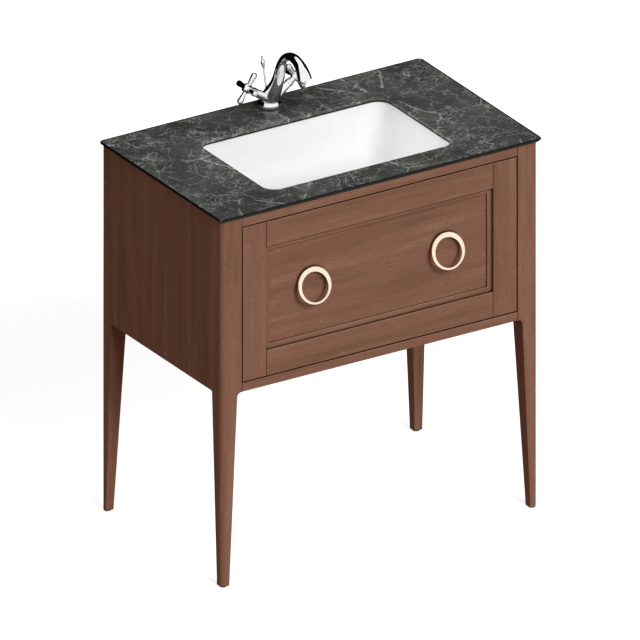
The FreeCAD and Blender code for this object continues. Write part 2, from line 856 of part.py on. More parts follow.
def linkage_strap():
    """The flat strap below the rod, with a clamp round the rod and a hole for the pivot rod."""
    top = strap_overlap - rod_below
    low = strap_eye - strap_tail
    half = strap_thick / 2
    middle = -rod_radius - half
    strap = block(-strap_width / 2, strap_width / 2, middle - half, middle + half, low, top)
    hole = bar(V(0, middle - strap_thick, strap_eye), V(0, 1, 0), strap_hole, 2 * strap_thick)
    clamp_half = rod_radius + clamp_margin
    clamp = block(-clamp_half, clamp_half, middle + half, clamp_half, top - clamp_length, top)
    clamp = clamp.cut(bar(V(0, 0, top - clamp_length), V(0, 0, 1), rod_radius, clamp_length))
    strap = strap.cut(hole).fuse(clamp).removeSplitter()
    return aimed(strap, rod_deck, rod_axis)


# Tap

def neck_section(station, before, after):
    """A round section of the neck, square to the line through its neighbours."""
    forward, height, radius = station
    turn = math.atan2(after[0] - before[0], after[1] - before[1])
    circle = Part.Circle(V(0, 0, 0), V(0, 0, 1), radius).toShape()
    place = V(0, tap_y - forward, top_height + height)
    circle.Placement = FreeCAD.Placement(place, FreeCAD.Rotation(V(1, 0, 0), math.degrees(turn)))
    return Part.Wire([circle])


def outlet_frame():
    """The middle of the spout's end and the way that the water leaves."""
    before, last = neck_stations[-2:]
    ahead = V(0, before[0] - last[0], last[1] - before[1])
    ahead.normalize()
    return V(0, tap_y - last[0], top_height + last[1]), ahead


def valve_axis():
    """The right-hand valve's axis, out of the body and upwards."""
    lean = math.radians(valve_tilt)
    return V(math.cos(lean), 0, math.sin(lean))


def valve_point(along):
    """A point on the right-hand valve's axis, at a distance from the tap's middle."""
    return V(0, tap_y - valve_forward, top_height + valve_height) + valve_axis() * along


def tap_body():
    """The swan-neck casting with its two valve arms and the sockets cut in it."""
    first = neck_stations[0]
    upright = (first[0], first[1] + 1, first[2])
    befores = [first] + neck_stations[:-2] + [neck_stations[-2]]
    afters = [upright] + neck_stations[2:] + [neck_stations[-1]]
    sections = [neck_section(*trio) for trio in zip(neck_stations, befores, afters)]
    neck = Part.makeLoft(sections, True, False)
    seat = V(0, tap_y, top_height + body_seat)
    flare = Part.makeCone(flare_radius, flare_top_radius, flare_height, seat)
    arm_length = arm_end - arm_start
    arm = Part.makeCone(arm_start_radius, arm_end_radius, arm_length, valve_point(arm_start), valve_axis())
    socket = bar(seat, V(0, 0, 1), shank_radius + shank_clear, shank_socket)
    rod_way = bar(rod_deck, rod_axis, rod_radius + rod_clear, rod_top - finial_length)
    outlet, ahead = outlet_frame()
    recess = bar(outlet - ahead * aerator_depth, ahead, aerator_radius + aerator_clear, 2 * aerator_depth)
    return neck.fuse([flare, arm, mirrored(arm)]).cut([socket, rod_way, recess])


def tap_base():
    """The base ring on the stone, its gasket, the threaded shank and the back nut below."""
    bore = shank_radius + shank_clear
    gasket = pipe(V(0, tap_y, top_height), V(0, 0, 1), gasket_radius, bore, gasket_thick)
    ring_low = V(0, tap_y, top_height + gasket_thick)
    ring = turned([
        (bore, 0), (base_radius - base_bevel, 0), (base_radius, base_bevel),
        (base_radius, base_height - base_shoulder), (base_radius - base_shoulder, base_height),
        (bore, base_height),
    ], ring_low)
    shank_low = V(0, tap_y, slab_under - shank_below)
    shank_top = top_height + body_seat + shank_socket
    shank = bar(shank_low, V(0, 0, 1), shank_radius, shank_top - shank_low.z)
    rod_way = bar(rod_deck - rod_axis * rod_below, rod_axis, rod_radius + rod_clear, rod_below + rod_top)
    inlets = []
    for x in (-inlet_spacing / 2, inlet_spacing / 2):
        inlets.append(bar(shank_low + V(x, inlet_setback, 0), V(0, 0, 1), inlet_radius, inlet_depth))
    nut_low = V(0, tap_y, slab_under - backnut_height)
    nut = hexagon(nut_low, backnut_across, backnut_height)
    nut = nut.cut(bar(nut_low, V(0, 0, 1), bore, backnut_height))
    return {"tap_gasket": gasket, "tap_base_ring": ring, "tap_shank": shank.cut(inlets + [rod_way]),
            "tap_backnut": nut}


def tap_bonnet():
    """The right-hand valve's bonnet, bored for its spindle."""
    length = bonnet_end - arm_end
    bore = spindle_radius + spindle_clear
    lip = length / 4
    bonnet = turned([
        (bore, length - spindle_length), (bore, length), (bonnet_waist, length),
        (bonnet_waist, length - lip), (bonnet_radius, lip), (bonnet_radius, 0),
        (0, 0), (0, length - spindle_length),
    ])
    return aimed(bonnet, valve_point(arm_end), valve_axis())


def cross_handle():
    """The right-hand cross handle: a domed hub on its spindle, with four swelling arms."""
    low = handle_gap
    high = low + hub_length
    spindle_end = handle_gap - spindle_length
    corners = [
        V(0, 0, high + hub_dome), V(0, 0, spindle_end), V(spindle_radius, 0, spindle_end),
        V(spindle_radius, 0, low), V(hub_radius, 0, low), V(hub_radius, 0, high),
    ]
    edges = [Part.LineSegment(a, b).toShape() for a, b in zip(corners, corners[1:])]
    hub = turned_wire(Part.Wire(edges + [dome_arc(hub_radius, high, hub_dome)]))
    middle = V(0, 0, low + hub_length / 2)
    arms = []
    for quarter in range(4):
        turn = math.radians(90 * quarter)
        arms.append(aimed(petal(), middle, V(math.cos(turn), math.sin(turn), 0)))
    return aimed(hub.fuse(arms).removeSplitter(), valve_point(bonnet_end), valve_axis())


def petal():
    """One arm of a cross handle: it widens outwards and ends in a ball."""
    edges = [
        Part.LineSegment(V(0, 0, 0), V(petal_root, 0, 0)).toShape(),
        *ball_end(0, petal_root, petal_length, petal_ball),
        Part.LineSegment(V(0, 0, petal_length), V(0, 0, 0)).toShape(),
    ]
    return turned_wire(Part.Wire(edges))


def tap_aerator():
    """The aerator ring in the spout's end."""
    outlet, ahead = outlet_frame()
    length = aerator_depth + aerator_proud
    return pipe(outlet - ahead * aerator_depth, ahead, aerator_radius, aerator_bore, length)


# Drawer

def ring_seats(x, y):
    """The places of a ring pull's two posts, in a plane of the panel at y."""
    return [V(x + side, y, ring_height + ring_post_rise) for side in (-ring_post_reach, ring_post_reach)]


def ring_pull(x):
    """A ring, thicker at the top, that leans back on two posts, tapped for their screws."""
    ahead = V(0, -1, 0)
    centre = V(x, panel_face - ring_stand, ring_height)
    front = centre + ahead * (ring_thick / 2)
    ring = bar(front, ahead * -1, ring_outer, ring_thick)
    ring = ring.cut(bar(front - V(0, 0, ring_offset), ahead * -1, ring_inner, ring_thick))
    ring = ring.makeChamfer(ring_bevel, edges_at(ring, lambda point: abs(point.y - front.y) < 1e-6))
    ring.rotate(centre, V(1, 0, 0), -ring_lean)
    for seat in ring_seats(x, panel_face):
        ring = ring.fuse(bar(seat, ahead, ring_post_radius, ring_post_length))
        ring = ring.cut(screw_hole(seat, ahead, ring_screw_bite))
    return ring.removeSplitter()


def drawer_panel():
    """The flat panel in the frame's grooves, dished behind each ring and drilled for its screws."""
    reach = frame_half + groove_tongue
    low = frame_low - groove_tongue
    high = frame_high + groove_tongue
    panel = block(-reach, reach, panel_face, panel_back, low, high)
    dish_radius = ring_inner - dish_margin
    ball = (dish_radius * dish_radius + dish_depth * dish_depth) / (2 * dish_depth)
    for x in (-ring_x, ring_x):
        middle = V(x, panel_face + dish_depth - ball, ring_height - ring_offset)
        panel = panel.cut(Part.makeSphere(ball, middle))
        for seat in ring_seats(x, panel_back):
            panel = panel.cut(screw_hole(seat, V(0, -1, 0), panel_thick))
    return panel


def drawer_frame():
    """Stiles and rails, grooved for the panel, with stub tenons on the rails."""
    low = front_bottom + groove_stop
    high = front_top - groove_stop
    stile = eased_board(frame_half, front_half, front_face, front_back, front_bottom, front_top)
    groove = block(frame_half, frame_half + groove_depth, panel_face, panel_back, low, high)
    stile = stile.cut([groove] + [screw_hole(*fixing) for fixing in front_fixings() if fixing[0].x > 0])
    nodes = pair("drawer_stile", stile)
    reach = frame_half + groove_tongue
    slot_low = frame_low - groove_depth
    slot_high = frame_high + groove_depth
    slot = block(-frame_half, frame_half, panel_face, panel_back, slot_low, slot_high)
    rails = {
        "drawer_rail_bottom": (front_bottom, frame_low, low + groove_clear, slot_low),
        "drawer_rail_top": (frame_high, front_top, slot_high, high - groove_clear),
    }
    for name, (z0, z1, stub_low, stub_high) in rails.items():
        rail = eased_board(-frame_half, frame_half, front_face, front_back, z0, z1)
        stub = block(frame_half, reach, panel_face, panel_back, stub_low, stub_high)
        nodes[name] = rail.cut(slot).fuse([stub, mirrored(stub)])
    return nodes


def rectangle(half_width, low, high):
    """The four corners of a rectangle in the front view, as (x, z) pairs."""
    return [(-half_width, low), (half_width, low), (half_width, high), (-half_width, high)]


def drawer_moulding():
    """Four mitred strips round the panel, with their inner front edges eased."""
    outer = rectangle(frame_half, frame_low, frame_high)
    inner = rectangle(frame_half - moulding_width, frame_low + moulding_width, frame_high - moulding_width)
    strips = []
    for side in range(4):
        after = (side + 1) % 4
        corners = [outer[side], outer[after], inner[after], inner[side]]
        points = [V(x, moulding_face, z) for x, z in corners]
        strip = Part.Face(Part.makePolygon(points + [points[0]])).extrude(V(0, panel_step, 0))
        lip = edges_at(strip, lambda point: min(point.distanceToPoint(end) for end in points[2:]) < 1e-6)
        strips.append(strip.makeFillet(edge_ease, lip))
    return Part.makeCompound(strips)


def front_fixings():
    """Seat, direction and length of each screw that holds the front to the box."""
    seat_y = front_back + box_thick
    length = box_thick + front_screw_bite
    fixings = []
    for x in (front_screw_inset - box_inner, box_inner - front_screw_inset):
        for level in (box_bottom + front_screw_rise, box_top - front_screw_drop):
            fixings.append((V(x, seat_y, level), V(0, -1, 0), length))
    return fixings


def ring_fixings():
    """Seat, direction and length of each screw that holds a ring pull."""
    fixings = []
    for x in (-ring_x, ring_x):
        for seat in ring_seats(x, panel_back):
            fixings.append((seat, V(0, -1, 0), panel_thick + ring_screw_bite))
    return fixings


def drawer_box():
    """Sides, box front, two-part back, the well round the trap and the floor that it interrupts."""
    side = block(box_inner, box_half, front_back, box_back, box_bottom, box_top)
    side = side.cut(block(box_inner, box_inner + bottom_groove, front_back, box_back, floor_low, floor_high))
    box_front_back = front_back + box_thick
    box_front = block(-box_inner, box_inner, front_back, box_front_back, box_bottom, box_top)
    slot = block(-box_inner, box_inner, box_front_back - bottom_groove, box_front_back, floor_low, floor_high)
    box_front = box_front.cut([slot] + [screw_hole(*fixing) for fixing in front_fixings()])
    tongue = bottom_groove - groove_clear
    reach = box_inner + tongue
    floor = block(-reach, reach, box_front_back - tongue, box_back, floor_low, floor_high)
    floor = floor.cut(block(-well_half, well_half, well_front, box_back, floor_low, floor_high))
    wall = well_half + well_thick
    back = block(wall, box_inner, box_back - box_thick, box_back, floor_high, box_top)
    well_side = block(well_half, wall, well_front, box_back, floor_high, box_top)
    well_end = block(-wall, wall, well_front - well_thick, well_front, floor_high, box_top)
    nodes = pair("drawer_side", side)
    nodes["drawer_box_front"] = box_front
    nodes["drawer_back"] = Part.makeCompound([back, mirrored(back)])
    nodes["drawer_well"] = Part.makeCompound([well_side, mirrored(well_side), well_end])
    nodes["drawer_bottom"] = floor
    return nodes


def all_nodes():
    """Every piece of the unit under its name."""
    nodes = {}
    nodes.update(legs_and_glides())
    nodes.update(carcass_boards())
    nodes.update(slides())
    nodes["countertop"] = countertop()
    nodes["basin"] = basin()
    nodes["basin_seal"] = basin_seal()
    nodes["basin_clips"] = basin_clips()
    nodes.update(waste_fittings())
    nodes["pivot_nut"] = pivot_nut()
    nodes.update(trap())
    nodes["lift_rod"] = lift_rod()
    nodes["linkage_strap"] = linkage_strap()
    nodes["pivot_rod"] = pivot_rod()
    nodes["waste_plug"] = waste_plug()
    nodes["tap_body"] = tap_body()
    nodes.update(tap_base())
    nodes.update(pair("tap_bonnet", tap_bonnet()))
    nodes.update(pair("cross_handle", cross_handle()))
    nodes["tap_aerator"] = tap_aerator()
    nodes.update(drawer_frame())
    nodes["drawer_panel"] = drawer_panel()
    nodes["drawer_moulding"] = drawer_moulding()
    nodes["ring_pull_left"] = ring_pull(-ring_x)
    nodes["ring_pull_right"] = ring_pull(ring_x)
    fixings = front_fixings() + ring_fixings()
    nodes["drawer_screws"] = Part.makeCompound([screw(*fixing) for fixing in fixings])
    nodes.update(drawer_box())
    return nodes


os.makedirs("parts", exist_ok=True)
for name, shape in all_nodes().items():
    shape.exportStep("parts/" + name + ".step")
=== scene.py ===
"""Looks of a vanity unit: a walnut cabinet with a drawer, a stone worktop, a basin, a tap and its waste."""

import math

import bpy
from bpy.props import FloatProperty, FloatVectorProperty, PointerProperty
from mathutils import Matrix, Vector


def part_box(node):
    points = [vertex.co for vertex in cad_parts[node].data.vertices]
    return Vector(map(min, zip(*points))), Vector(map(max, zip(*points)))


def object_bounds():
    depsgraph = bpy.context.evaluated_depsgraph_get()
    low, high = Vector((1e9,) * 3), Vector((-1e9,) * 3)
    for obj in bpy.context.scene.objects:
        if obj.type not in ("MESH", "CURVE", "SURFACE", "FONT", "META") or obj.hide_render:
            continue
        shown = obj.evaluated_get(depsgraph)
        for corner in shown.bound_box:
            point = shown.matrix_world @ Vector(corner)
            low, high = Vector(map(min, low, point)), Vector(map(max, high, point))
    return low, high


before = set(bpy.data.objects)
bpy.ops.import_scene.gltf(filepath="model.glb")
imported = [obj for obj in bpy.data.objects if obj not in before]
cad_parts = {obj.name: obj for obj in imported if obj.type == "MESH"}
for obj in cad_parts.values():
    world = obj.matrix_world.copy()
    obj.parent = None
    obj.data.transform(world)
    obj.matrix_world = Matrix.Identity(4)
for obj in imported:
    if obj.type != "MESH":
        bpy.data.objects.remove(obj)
cad_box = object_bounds()

bl_info = {
    "name": "Vanity unit looks",
    "version": (1, 0, 0),
    "blender": (4, 5, 0),
    "location": "3D View > Sidebar > Vanity",
    "description": "Finishes, stage and camera of the vanity unit",
    "category": "Object",
}


# Colours and sizes that a user would change


def linear(level):
    """One screen colour level, 0 to 255, as the linear value that shaders use, by the sRGB curve."""
    bright = level / 255
    if bright <= 0.04045:
        return bright / 12.92
    return ((bright + 0.055) / 1.055) ** 2.4


def colour(label, words, red, green, blue):
    """A colour property whose default is given in screen levels."""
    return FloatVectorProperty(
        name=label, description=words, subtype="COLOR", size=3, min=0.0, max=1.0,
        default=(linear(red), linear(green), linear(blue)))


def length(label, words, metres):
    """A length property in metres."""
    return FloatProperty(
        name=label, description=words, default=metres, min=0.0001, max=2.0, unit="LENGTH", precision=4)


def share(label, words, value):
    """A property between none and all."""
    return FloatProperty(name=label, description=words, default=value, min=0.0, max=1.0, subtype="FACTOR")


class VanityTimber(bpy.types.PropertyGroup):
    """Walnut of the cabinet and board of the drawer box."""

    walnut_dark: colour("Dark walnut", "Colour of the dark streaks", 129, 95, 76)
    walnut_middle: colour("Walnut", "Main colour of the cabinet", 143, 105, 86)
    walnut_pale: colour("Pale walnut", "Colour of the pale streaks", 154, 117, 96)
    walnut_red: colour("Red walnut", "Colour of the redder patches", 146, 103, 86)
    walnut_pore: colour("Walnut pores", "Colour of the open pores", 70, 43, 33)
    # Walnut gaps colour: painted shade in gaps, crevices and on edges that face down, and the dark joint
    # lines at the rails' shoulders
    walnut_shade_and_joints: colour("Walnut gaps", "Colour of the gaps, crevices and joint lines", 38, 14, 5)
    # Worn walnut colour: the pale flecks, and a painted highlight on edges that face up
    walnut_fleck_and_highlight: colour("Walnut highlight and flecks", "Colour of the painted highlight on upper edges and of the pale flecks", 204, 168, 146)
    board_dark: colour("Dark board", "Dark streaks of the drawer box", 178, 146, 108)
    board_pale: colour("Pale board", "Main colour of the drawer box", 209, 181, 143)
    board_pore: colour("Board pores", "Colour of the flecks in the board", 152, 118, 82)
    figure_width: length("Figure width", "Width of one broad streak across the grain", 0.034)
    fibre_width: length("Fibre width", "Width of one fibre across the grain", 0.0016)
    # Edge reach and the rail and post strengths set the painted highlight on upper edges and the painted
    # shade on lower edges; six edge reaches is how far the painted crevice shade looks
    edge_reach: length("Edge reach", "How far an eased edge with its painted highlight and shade reaches", 0.0016)
    rail_edge_light: share("Rail edge light", "How strong the painted highlight and shade are on the edges of the rails and the drawer front", 0.8)
    post_edge_light: share("Post edge light", "How strong the painted highlight and shade are on the edges of the posts and side panels", 0.15)
    gloss: share("Roughness", "How dull the oiled timber is", 0.46)


class VanityStone(bpy.types.PropertyGroup):
    """Polished worktop."""

    ground: colour("Ground", "Darkest colour of the stone", 66, 68, 65)
    cloud: colour("Cloud", "Colour of the paler clouds", 95, 97, 93)
    vein: colour("Vein", "Colour of the fine crackle of veins", 190, 192, 187)
    bright_vein: colour("Bright vein", "Colour of the few strong veins", 214, 215, 209)
    # The stone's shade colour, rim and foot line make painted shade: a dark band round the top's outer edge,
    # a dark line at the foot of the cut-out's edge, and a painted shadow round the tap's foot
    shade: colour("Shade", "Colour of the painted shade on the rim, the cut-out's foot line and round the tap", 11, 10, 10)
    rim: length("Rim", "Width of the painted shade round the top's outer edge", 0.005)
    shade_reach: length("Shade reach", "How far the shade round the tap's foot reaches", 0.06)
    foot_line: length("Foot line", "Height of the painted shade line at the foot of the cut-out's edge", 0.0042)
    crack_size: length("Crack size", "Distance between the long straight cracks", 0.15)
    web_size: length("Web size", "Width of one mesh of the coarse crackle of veins", 0.045)
    fine_web_size: length("Fine web size", "Width of one mesh of the fine crackle of veins", 0.0135)
    gloss: share("Roughness", "How dull the polish is", 0.13)


class VanityWare(bpy.types.PropertyGroup):
    """Glaze, plastics, rubber and silicone."""

    glaze: colour("Glaze", "Colour of the basin", 244, 244, 243)
    glaze_shade: colour("Glaze shade", "Colour where the glaze pools", 239, 240, 240)
    plastic: colour("Plastic", "Colour of the trap", 231, 231, 226)
    plastic_shade: colour("Plastic shade", "Colour of the trap's flow marks", 221, 221, 215)
    glide: colour("Glide", "Colour of the foot glides", 58, 47, 41)
    glide_shade: colour("Glide shade", "Colour of the scuffs on the glides", 84, 72, 64)
    rubber: colour("Rubber", "Colour of the washers and gasket", 33, 33, 34)
    rubber_bloom: colour("Rubber bloom", "Colour of the dry bloom on rubber", 62, 61, 60)
    silicone: colour("Silicone", "Colour of the basin's seal", 214, 217, 214)
    silicone_shade: colour("Silicone shade", "Colour of the seal's tooled streaks", 196, 200, 197)


class VanityMetal(bpy.types.PropertyGroup):
    """Tap, pulls, slides and waste."""

    chrome: colour("Chrome", "Colour of the tap", 245, 246, 247)
    chrome_film: colour("Chrome film", "Colour of the dried water film", 234, 236, 239)
    pull: colour("Pull", "Colour of the ring pulls", 252, 238, 214)
    pull_film: colour("Pull film", "Colour of the handled parts of the pulls", 246, 226, 198)
    # Pull sides colour: painted shade on the faces of the pulls that turn away from the front
    pull_side_shade: colour("Pull side shade", "Colour of the painted shade on the pulls' sides", 176, 132, 98)
    zinc: colour("Zinc", "Pale spangles of the zinc plate", 196, 199, 201)
    zinc_shade: colour("Zinc shade", "Dark spangles of the zinc plate", 160, 164, 167)
    brass: colour("Brass", "Colour of the waste body", 204, 170, 104)
    brass_tarnish: colour("Brass tarnish", "Colour of the dulled brass", 158, 122, 68)
    chrome_gloss: share("Chrome roughness", "How dull the chrome is", 0.035)
    pull_gloss: share("Pull roughness", "How dull the brushed pulls are", 0.26)


class VanityStage(bpy.types.PropertyGroup):
    """Floor, light, camera and the sheets that mirrors see."""

    floor: colour("Floor", "Colour of the floor", 250, 250, 250)
    bounce: colour("Floor bounce", "Colour of the floor in the light that it sends back", 142, 93, 69)
    screen: colour("Screen", "Colour of the screen that mirrors see", 12, 12, 13)
    azimuth: FloatProperty(
        name="Azimuth", description="Camera's turn from the front, to the right",
        default=math.radians(-32.05), subtype="ANGLE")
    elevation: FloatProperty(
        name="Elevation", description="Camera's height above the horizon",
        default=math.radians(24.41), subtype="ANGLE")
    width: length("View width", "Width of the picture at the object", 1.3444)
    aim: FloatVectorProperty(
        name="Aim", description="Point at the middle of the picture",
        default=(-0.0015, 0.0, 0.436), subtype="TRANSLATION", unit="LENGTH")
    key_azimuth: FloatProperty(
        name="Key azimuth", description="Key light's turn from the front, to the right",
        default=math.radians(3.0), subtype="ANGLE")
    key_elevation: FloatProperty(
        name="Key elevation", description="Key light's height above the horizon",
        default=math.radians(32.0), subtype="ANGLE")
    key_size: FloatProperty(
        name="Key size", description="Apparent width of the key light",
        default=math.radians(24.0), subtype="ANGLE")
    key_level: FloatProperty(
        name="Key level", description="Light from the key lamp, 1 shows a colour as written",
        default=0.65, min=0.0, max=2.0)
    card_level: length("Card level", "Height of the pale card over the basin's floor", 0.722)
    card_share: share("Card share", "How much of the basin's box the pale card spans", 0.72)
    card_glow: share("Card glow", "How bright mirrors see the pale card", 0.82)
    box_power: FloatProperty(
        name="Soft box power", description="Power of the soft box beside the basin",
        default=0.125, min=0.0, max=10.0, unit="POWER")
    fill_level: FloatProperty(
        name="Fill level", description="Light from all round, 1 shows a colour as written",
        default=0.325, min=0.0, max=1.0)


# Wiring of nodes


class Wires:
    """Adds nodes to one node tree and joins them."""

    def __init__(self, tree):
        self.tree = tree

    def feed(self, socket, value):
        """Joins a socket to another one, or sets its value."""
        if isinstance(value, bpy.types.NodeSocket):
            self.tree.links.new(value, socket)
        elif socket.type == "RGBA":
            socket.default_value = (*value, 1.0)
        else:
            socket.default_value = value

    def add(self, kind, inputs=None, **settings):
        """A new node with these settings and inputs."""
        node = self.tree.nodes.new(kind)
        for name, value in settings.items():
            setattr(node, name, value)
        for key, value in (inputs or {}).items():
            self.feed(node.inputs[key], value)
        return node

    def maths(self, operation, *values):
        """The result of a sum on numbers."""
        node = self.add("ShaderNodeMath", operation=operation)
        for socket, value in zip(node.inputs, values):
            self.feed(socket, value)
        return node.outputs[0]

    def vectors(self, operation, *values):
        """The result of a sum on vectors."""
        node = self.add("ShaderNodeVectorMath", operation=operation)
        for socket, value in zip(node.inputs, values):
            self.feed(socket, value)
        return node.outputs["Value" if operation == "DOT_PRODUCT" else "Vector"]

    def combine(self, x, y, z):
        """A vector of three numbers."""
        return self.add("ShaderNodeCombineXYZ", {"X": x, "Y": y, "Z": z}).outputs[0]

    def part(self, vector, axis):
        """One number of a vector: its x, y or z."""
        return self.add("ShaderNodeSeparateXYZ", {"Vector": vector}).outputs[axis.upper()]

    def normal(self):
        """The surface's own normal."""
        return self.add("ShaderNodeNewGeometry").outputs["Normal"]

    def noise(self, place, scale=1.0, detail=3.0, roughness=0.5, distortion=0.0, output="Fac"):
        """Smooth noise, 0 to 1."""
        return self.add("ShaderNodeTexNoise", {
            "Vector": place, "Scale": scale, "Detail": detail,
            "Roughness": roughness, "Distortion": distortion}).outputs[output]

    def remap(self, value, low, high, to_low=0.0, to_high=1.0):
        """A value eased from one range into another."""
        return self.add("ShaderNodeMapRange", {
            "Value": value, "From Min": low, "From Max": high,
            "To Min": to_low, "To Max": to_high}, interpolation_type="SMOOTHSTEP").outputs[0]

    def blend(self, amount, first, second):
        """Two colours mixed; the node has inputs for each kind of value, so they go by number."""
        node = self.add("ShaderNodeMix", data_type="RGBA")
        self.feed(node.inputs[0], amount)
        self.feed(node.inputs[6], first)
        self.feed(node.inputs[7], second)
        return node.outputs[2]

    def choose(self, amount, first, second):
        """Two vectors mixed."""
        node = self.add("ShaderNodeMix", data_type="VECTOR")
        self.feed(node.inputs[0], amount)
        self.feed(node.inputs[4], first)
        self.feed(node.inputs[5], second)
        return node.outputs[1]

    def effect(self, name, **inputs):
        """A shared effect placed here; its inputs are named with spaces for underscores."""
        node = self.add("ShaderNodeGroup", node_tree=bpy.data.node_groups[name])
        for key, value in inputs.items():
            self.feed(node.inputs[key.replace("_", " ").capitalize()], value)
        return node.outputs


def new_effect(name, inputs, outputs):
    """A node group with named sockets: its wires, the values that come in and the sockets that go out."""
    tree = bpy.data.node_groups.new(name, "ShaderNodeTree")
    for label, kind in inputs:
        tree.interface.new_socket(name=label, in_out="INPUT", socket_type="NodeSocket" + kind)
    for label, kind in outputs:
        tree.interface.new_socket(name=label, in_out="OUTPUT", socket_type="NodeSocket" + kind)
    wires = Wires(tree)
    return wires, wires.add("NodeGroupInput").outputs, wires.add("NodeGroupOutput").inputs


def make_grain():
    """Grain of sawn timber that runs along the vector's first axis."""
    wires, given, out = new_effect(
        "timber grain",
        [("Vector", "Vector"), ("Figure width", "Float"), ("Fibre width", "Float")],
        [("Figure", "Float"), ("Fibre", "Float"), ("Pores", "Float"), ("Patches", "Float")])

    def stretched(width, times):
        """The place scaled so that noise on it is this wide, and so many times as long."""
        across = wires.maths("DIVIDE", 1.0, width)
        along = wires.maths("DIVIDE", across, times)
        return wires.vectors("MULTIPLY", given["Vector"], wires.combine(along, across, across))

    broad = wires.noise(
        stretched(given["Figure width"], times=15.0), detail=4.0, roughness=0.55, distortion=0.25)
    rings = wires.maths("SINE", wires.maths("MULTIPLY", broad, 46.0))
    growth = wires.maths("MULTIPLY_ADD", rings, 0.09, wires.remap(broad, 0.25, 0.75))
    fibre = wires.noise(stretched(given["Fibre width"], times=55.0), detail=2.0, roughness=0.6)
    streaks = wires.maths("SUBTRACT", fibre, 0.5)
    pore_width = wires.maths("MULTIPLY", given["Fibre width"], 0.55)
    dashes = wires.noise(stretched(pore_width, times=24.0), detail=1.0)
    crowd = wires.remap(broad, 0.35, 0.65, 0.3, 1.0)
    patch_width = wires.maths("MULTIPLY", given["Figure width"], 2.4)
    patches = wires.noise(stretched(patch_width, times=2.2), detail=2.0)
    wires.feed(out["Figure"], wires.maths("MULTIPLY_ADD", streaks, 0.45, growth))
    wires.feed(out["Fibre"], fibre)
    wires.feed(out["Pores"], wires.maths("MULTIPLY", wires.remap(dashes, 0.6, 0.72), crowd))
    wires.feed(out["Patches"], wires.remap(patches, 0.35, 0.68))


def make_edges():
    """Mask of the edges, painted shade in the crevices, and a normal that rounds the edges."""
    wires, given, out = new_effect(
        "edges and crevice shade", [("Reach", "Float")], [("Edge", "Float"), ("Crevice shade", "Float"), ("Normal", "Vector")])
    rounded = wires.add("ShaderNodeBevel", {"Radius": given["Reach"]}, samples=6).outputs["Normal"]
    turned = wires.maths("SUBTRACT", 1.0, wires.vectors("DOT_PRODUCT", rounded, wires.normal()))
    wires.feed(out["Edge"], wires.remap(turned, 0.004, 0.05))
    # Painted shade: crevices darken by how little open sky they see within six reaches
    depth = wires.maths("MULTIPLY", given["Reach"], 6.0)
    openness = wires.add("ShaderNodeAmbientOcclusion", {"Distance": depth}, samples=8).outputs["AO"]
    wires.feed(out["Crevice shade"], wires.remap(openness, 0.4, 0.9, 1.0, 0.0))
    wires.feed(out["Normal"], rounded)


def make_handling():
    """Marks of making and use: soft patches, fine scratches and the ripple of a worked surface."""
    wires, given, out = new_effect(
        "handling marks",
        [("Vector", "Vector"), ("Patch size", "Float"), ("Dullness", "Float"), ("Spread", "Float")],
        [("Patches", "Float"), ("Roughness", "Float"), ("Ripple", "Float")])
    count = wires.maths("DIVIDE", 1.0, given["Patch size"])
    place = wires.vectors("MULTIPLY", given["Vector"], wires.combine(count, count, count))
    soft = wires.remap(wires.noise(place, detail=4.0, roughness=0.55, distortion=0.4), 0.3, 0.7)
    drawn = wires.vectors("MULTIPLY", place, (3.0, 40.0, 17.0))
    scratches = wires.remap(wires.noise(drawn, detail=2.0, distortion=0.2), 0.66, 0.74)
    scratched = wires.maths("MULTIPLY", given["Spread"], 0.6)
    dull = wires.maths("MULTIPLY_ADD", soft, given["Spread"], given["Dullness"])
    wires.feed(out["Patches"], soft)
    wires.feed(out["Roughness"], wires.maths("MULTIPLY_ADD", scratches, scratched, dull))
    wires.feed(out["Ripple"], wires.noise(place, scale=2.3, detail=2.0, roughness=0.4))


def bare_material(name):
    """A material with no nodes yet, and its wires."""
    material = bpy.data.materials.new(name)
    material.use_nodes = True
    material.node_tree.nodes.clear()
    return material, Wires(material.node_tree)


def new_finish(name):
    """A material: itself, its wires, its shader and the place on the piece in metres."""
    material, wires = bare_material(name)
    shader = wires.add("ShaderNodeBsdfPrincipled")
    wires.add("ShaderNodeOutputMaterial", {"Surface": shader.outputs["BSDF"]})
    place = wires.add("ShaderNodeTexCoord").outputs["Object"]
    return material, wires, shader, place


def bump(wires, shader, height, strength, depth, normal):
    """Gives a finish its relief, on the normal that rounds its edges."""
    node = wires.add("ShaderNodeBump", {
        "Height": height, "Strength": strength, "Distance": depth, "Normal": normal})
    wires.feed(shader.inputs["Normal"], node.outputs["Normal"])


# Finishes

# Turn that brings each way of the grain to the first axis, and the shift in the tree from board to board
GRAIN_TURNS = {"x": (0.0, 0.0, 0.0), "y": (0.0, 0.0, math.pi / 2), "z": (0.0, math.pi / 2, 0.0)}
BOARD_SHIFT = (0.731, 0.413, 0.267)

# Size of the walnut's flecks, as their number in a metre along and across the grain
FLECK_COUNT = (70.0, 330.0, 330.0)

# Dark line of a rail's joint: how far in from the shoulder it begins and is full, and how strong it is
JOINT_BEGIN = 0.0022
JOINT_FULL = 0.0008
JOINT_STRENGTH = 0.75

# Widths of the stone's veins
CRACK_WIDTH = 0.0017
WEB_WIDTH = 0.0015
FINE_WEB_WIDTH = 0.0012

# Strength of the plain sheen, where 0.5 is the usual one
WALNUT_SHEEN = 0.006
BOARD_SHEEN = 0.3
STONE_SHEEN = 0.25


def along_grain(wires, place, axis, board):
    """The place on a board, its grain turned to the first axis and cut from its own part of the tree."""
    shift = tuple(step * board for step in BOARD_SHIFT)
    return wires.add("ShaderNodeMapping", {
        "Vector": place, "Rotation": GRAIN_TURNS[axis], "Location": shift}).outputs["Vector"]


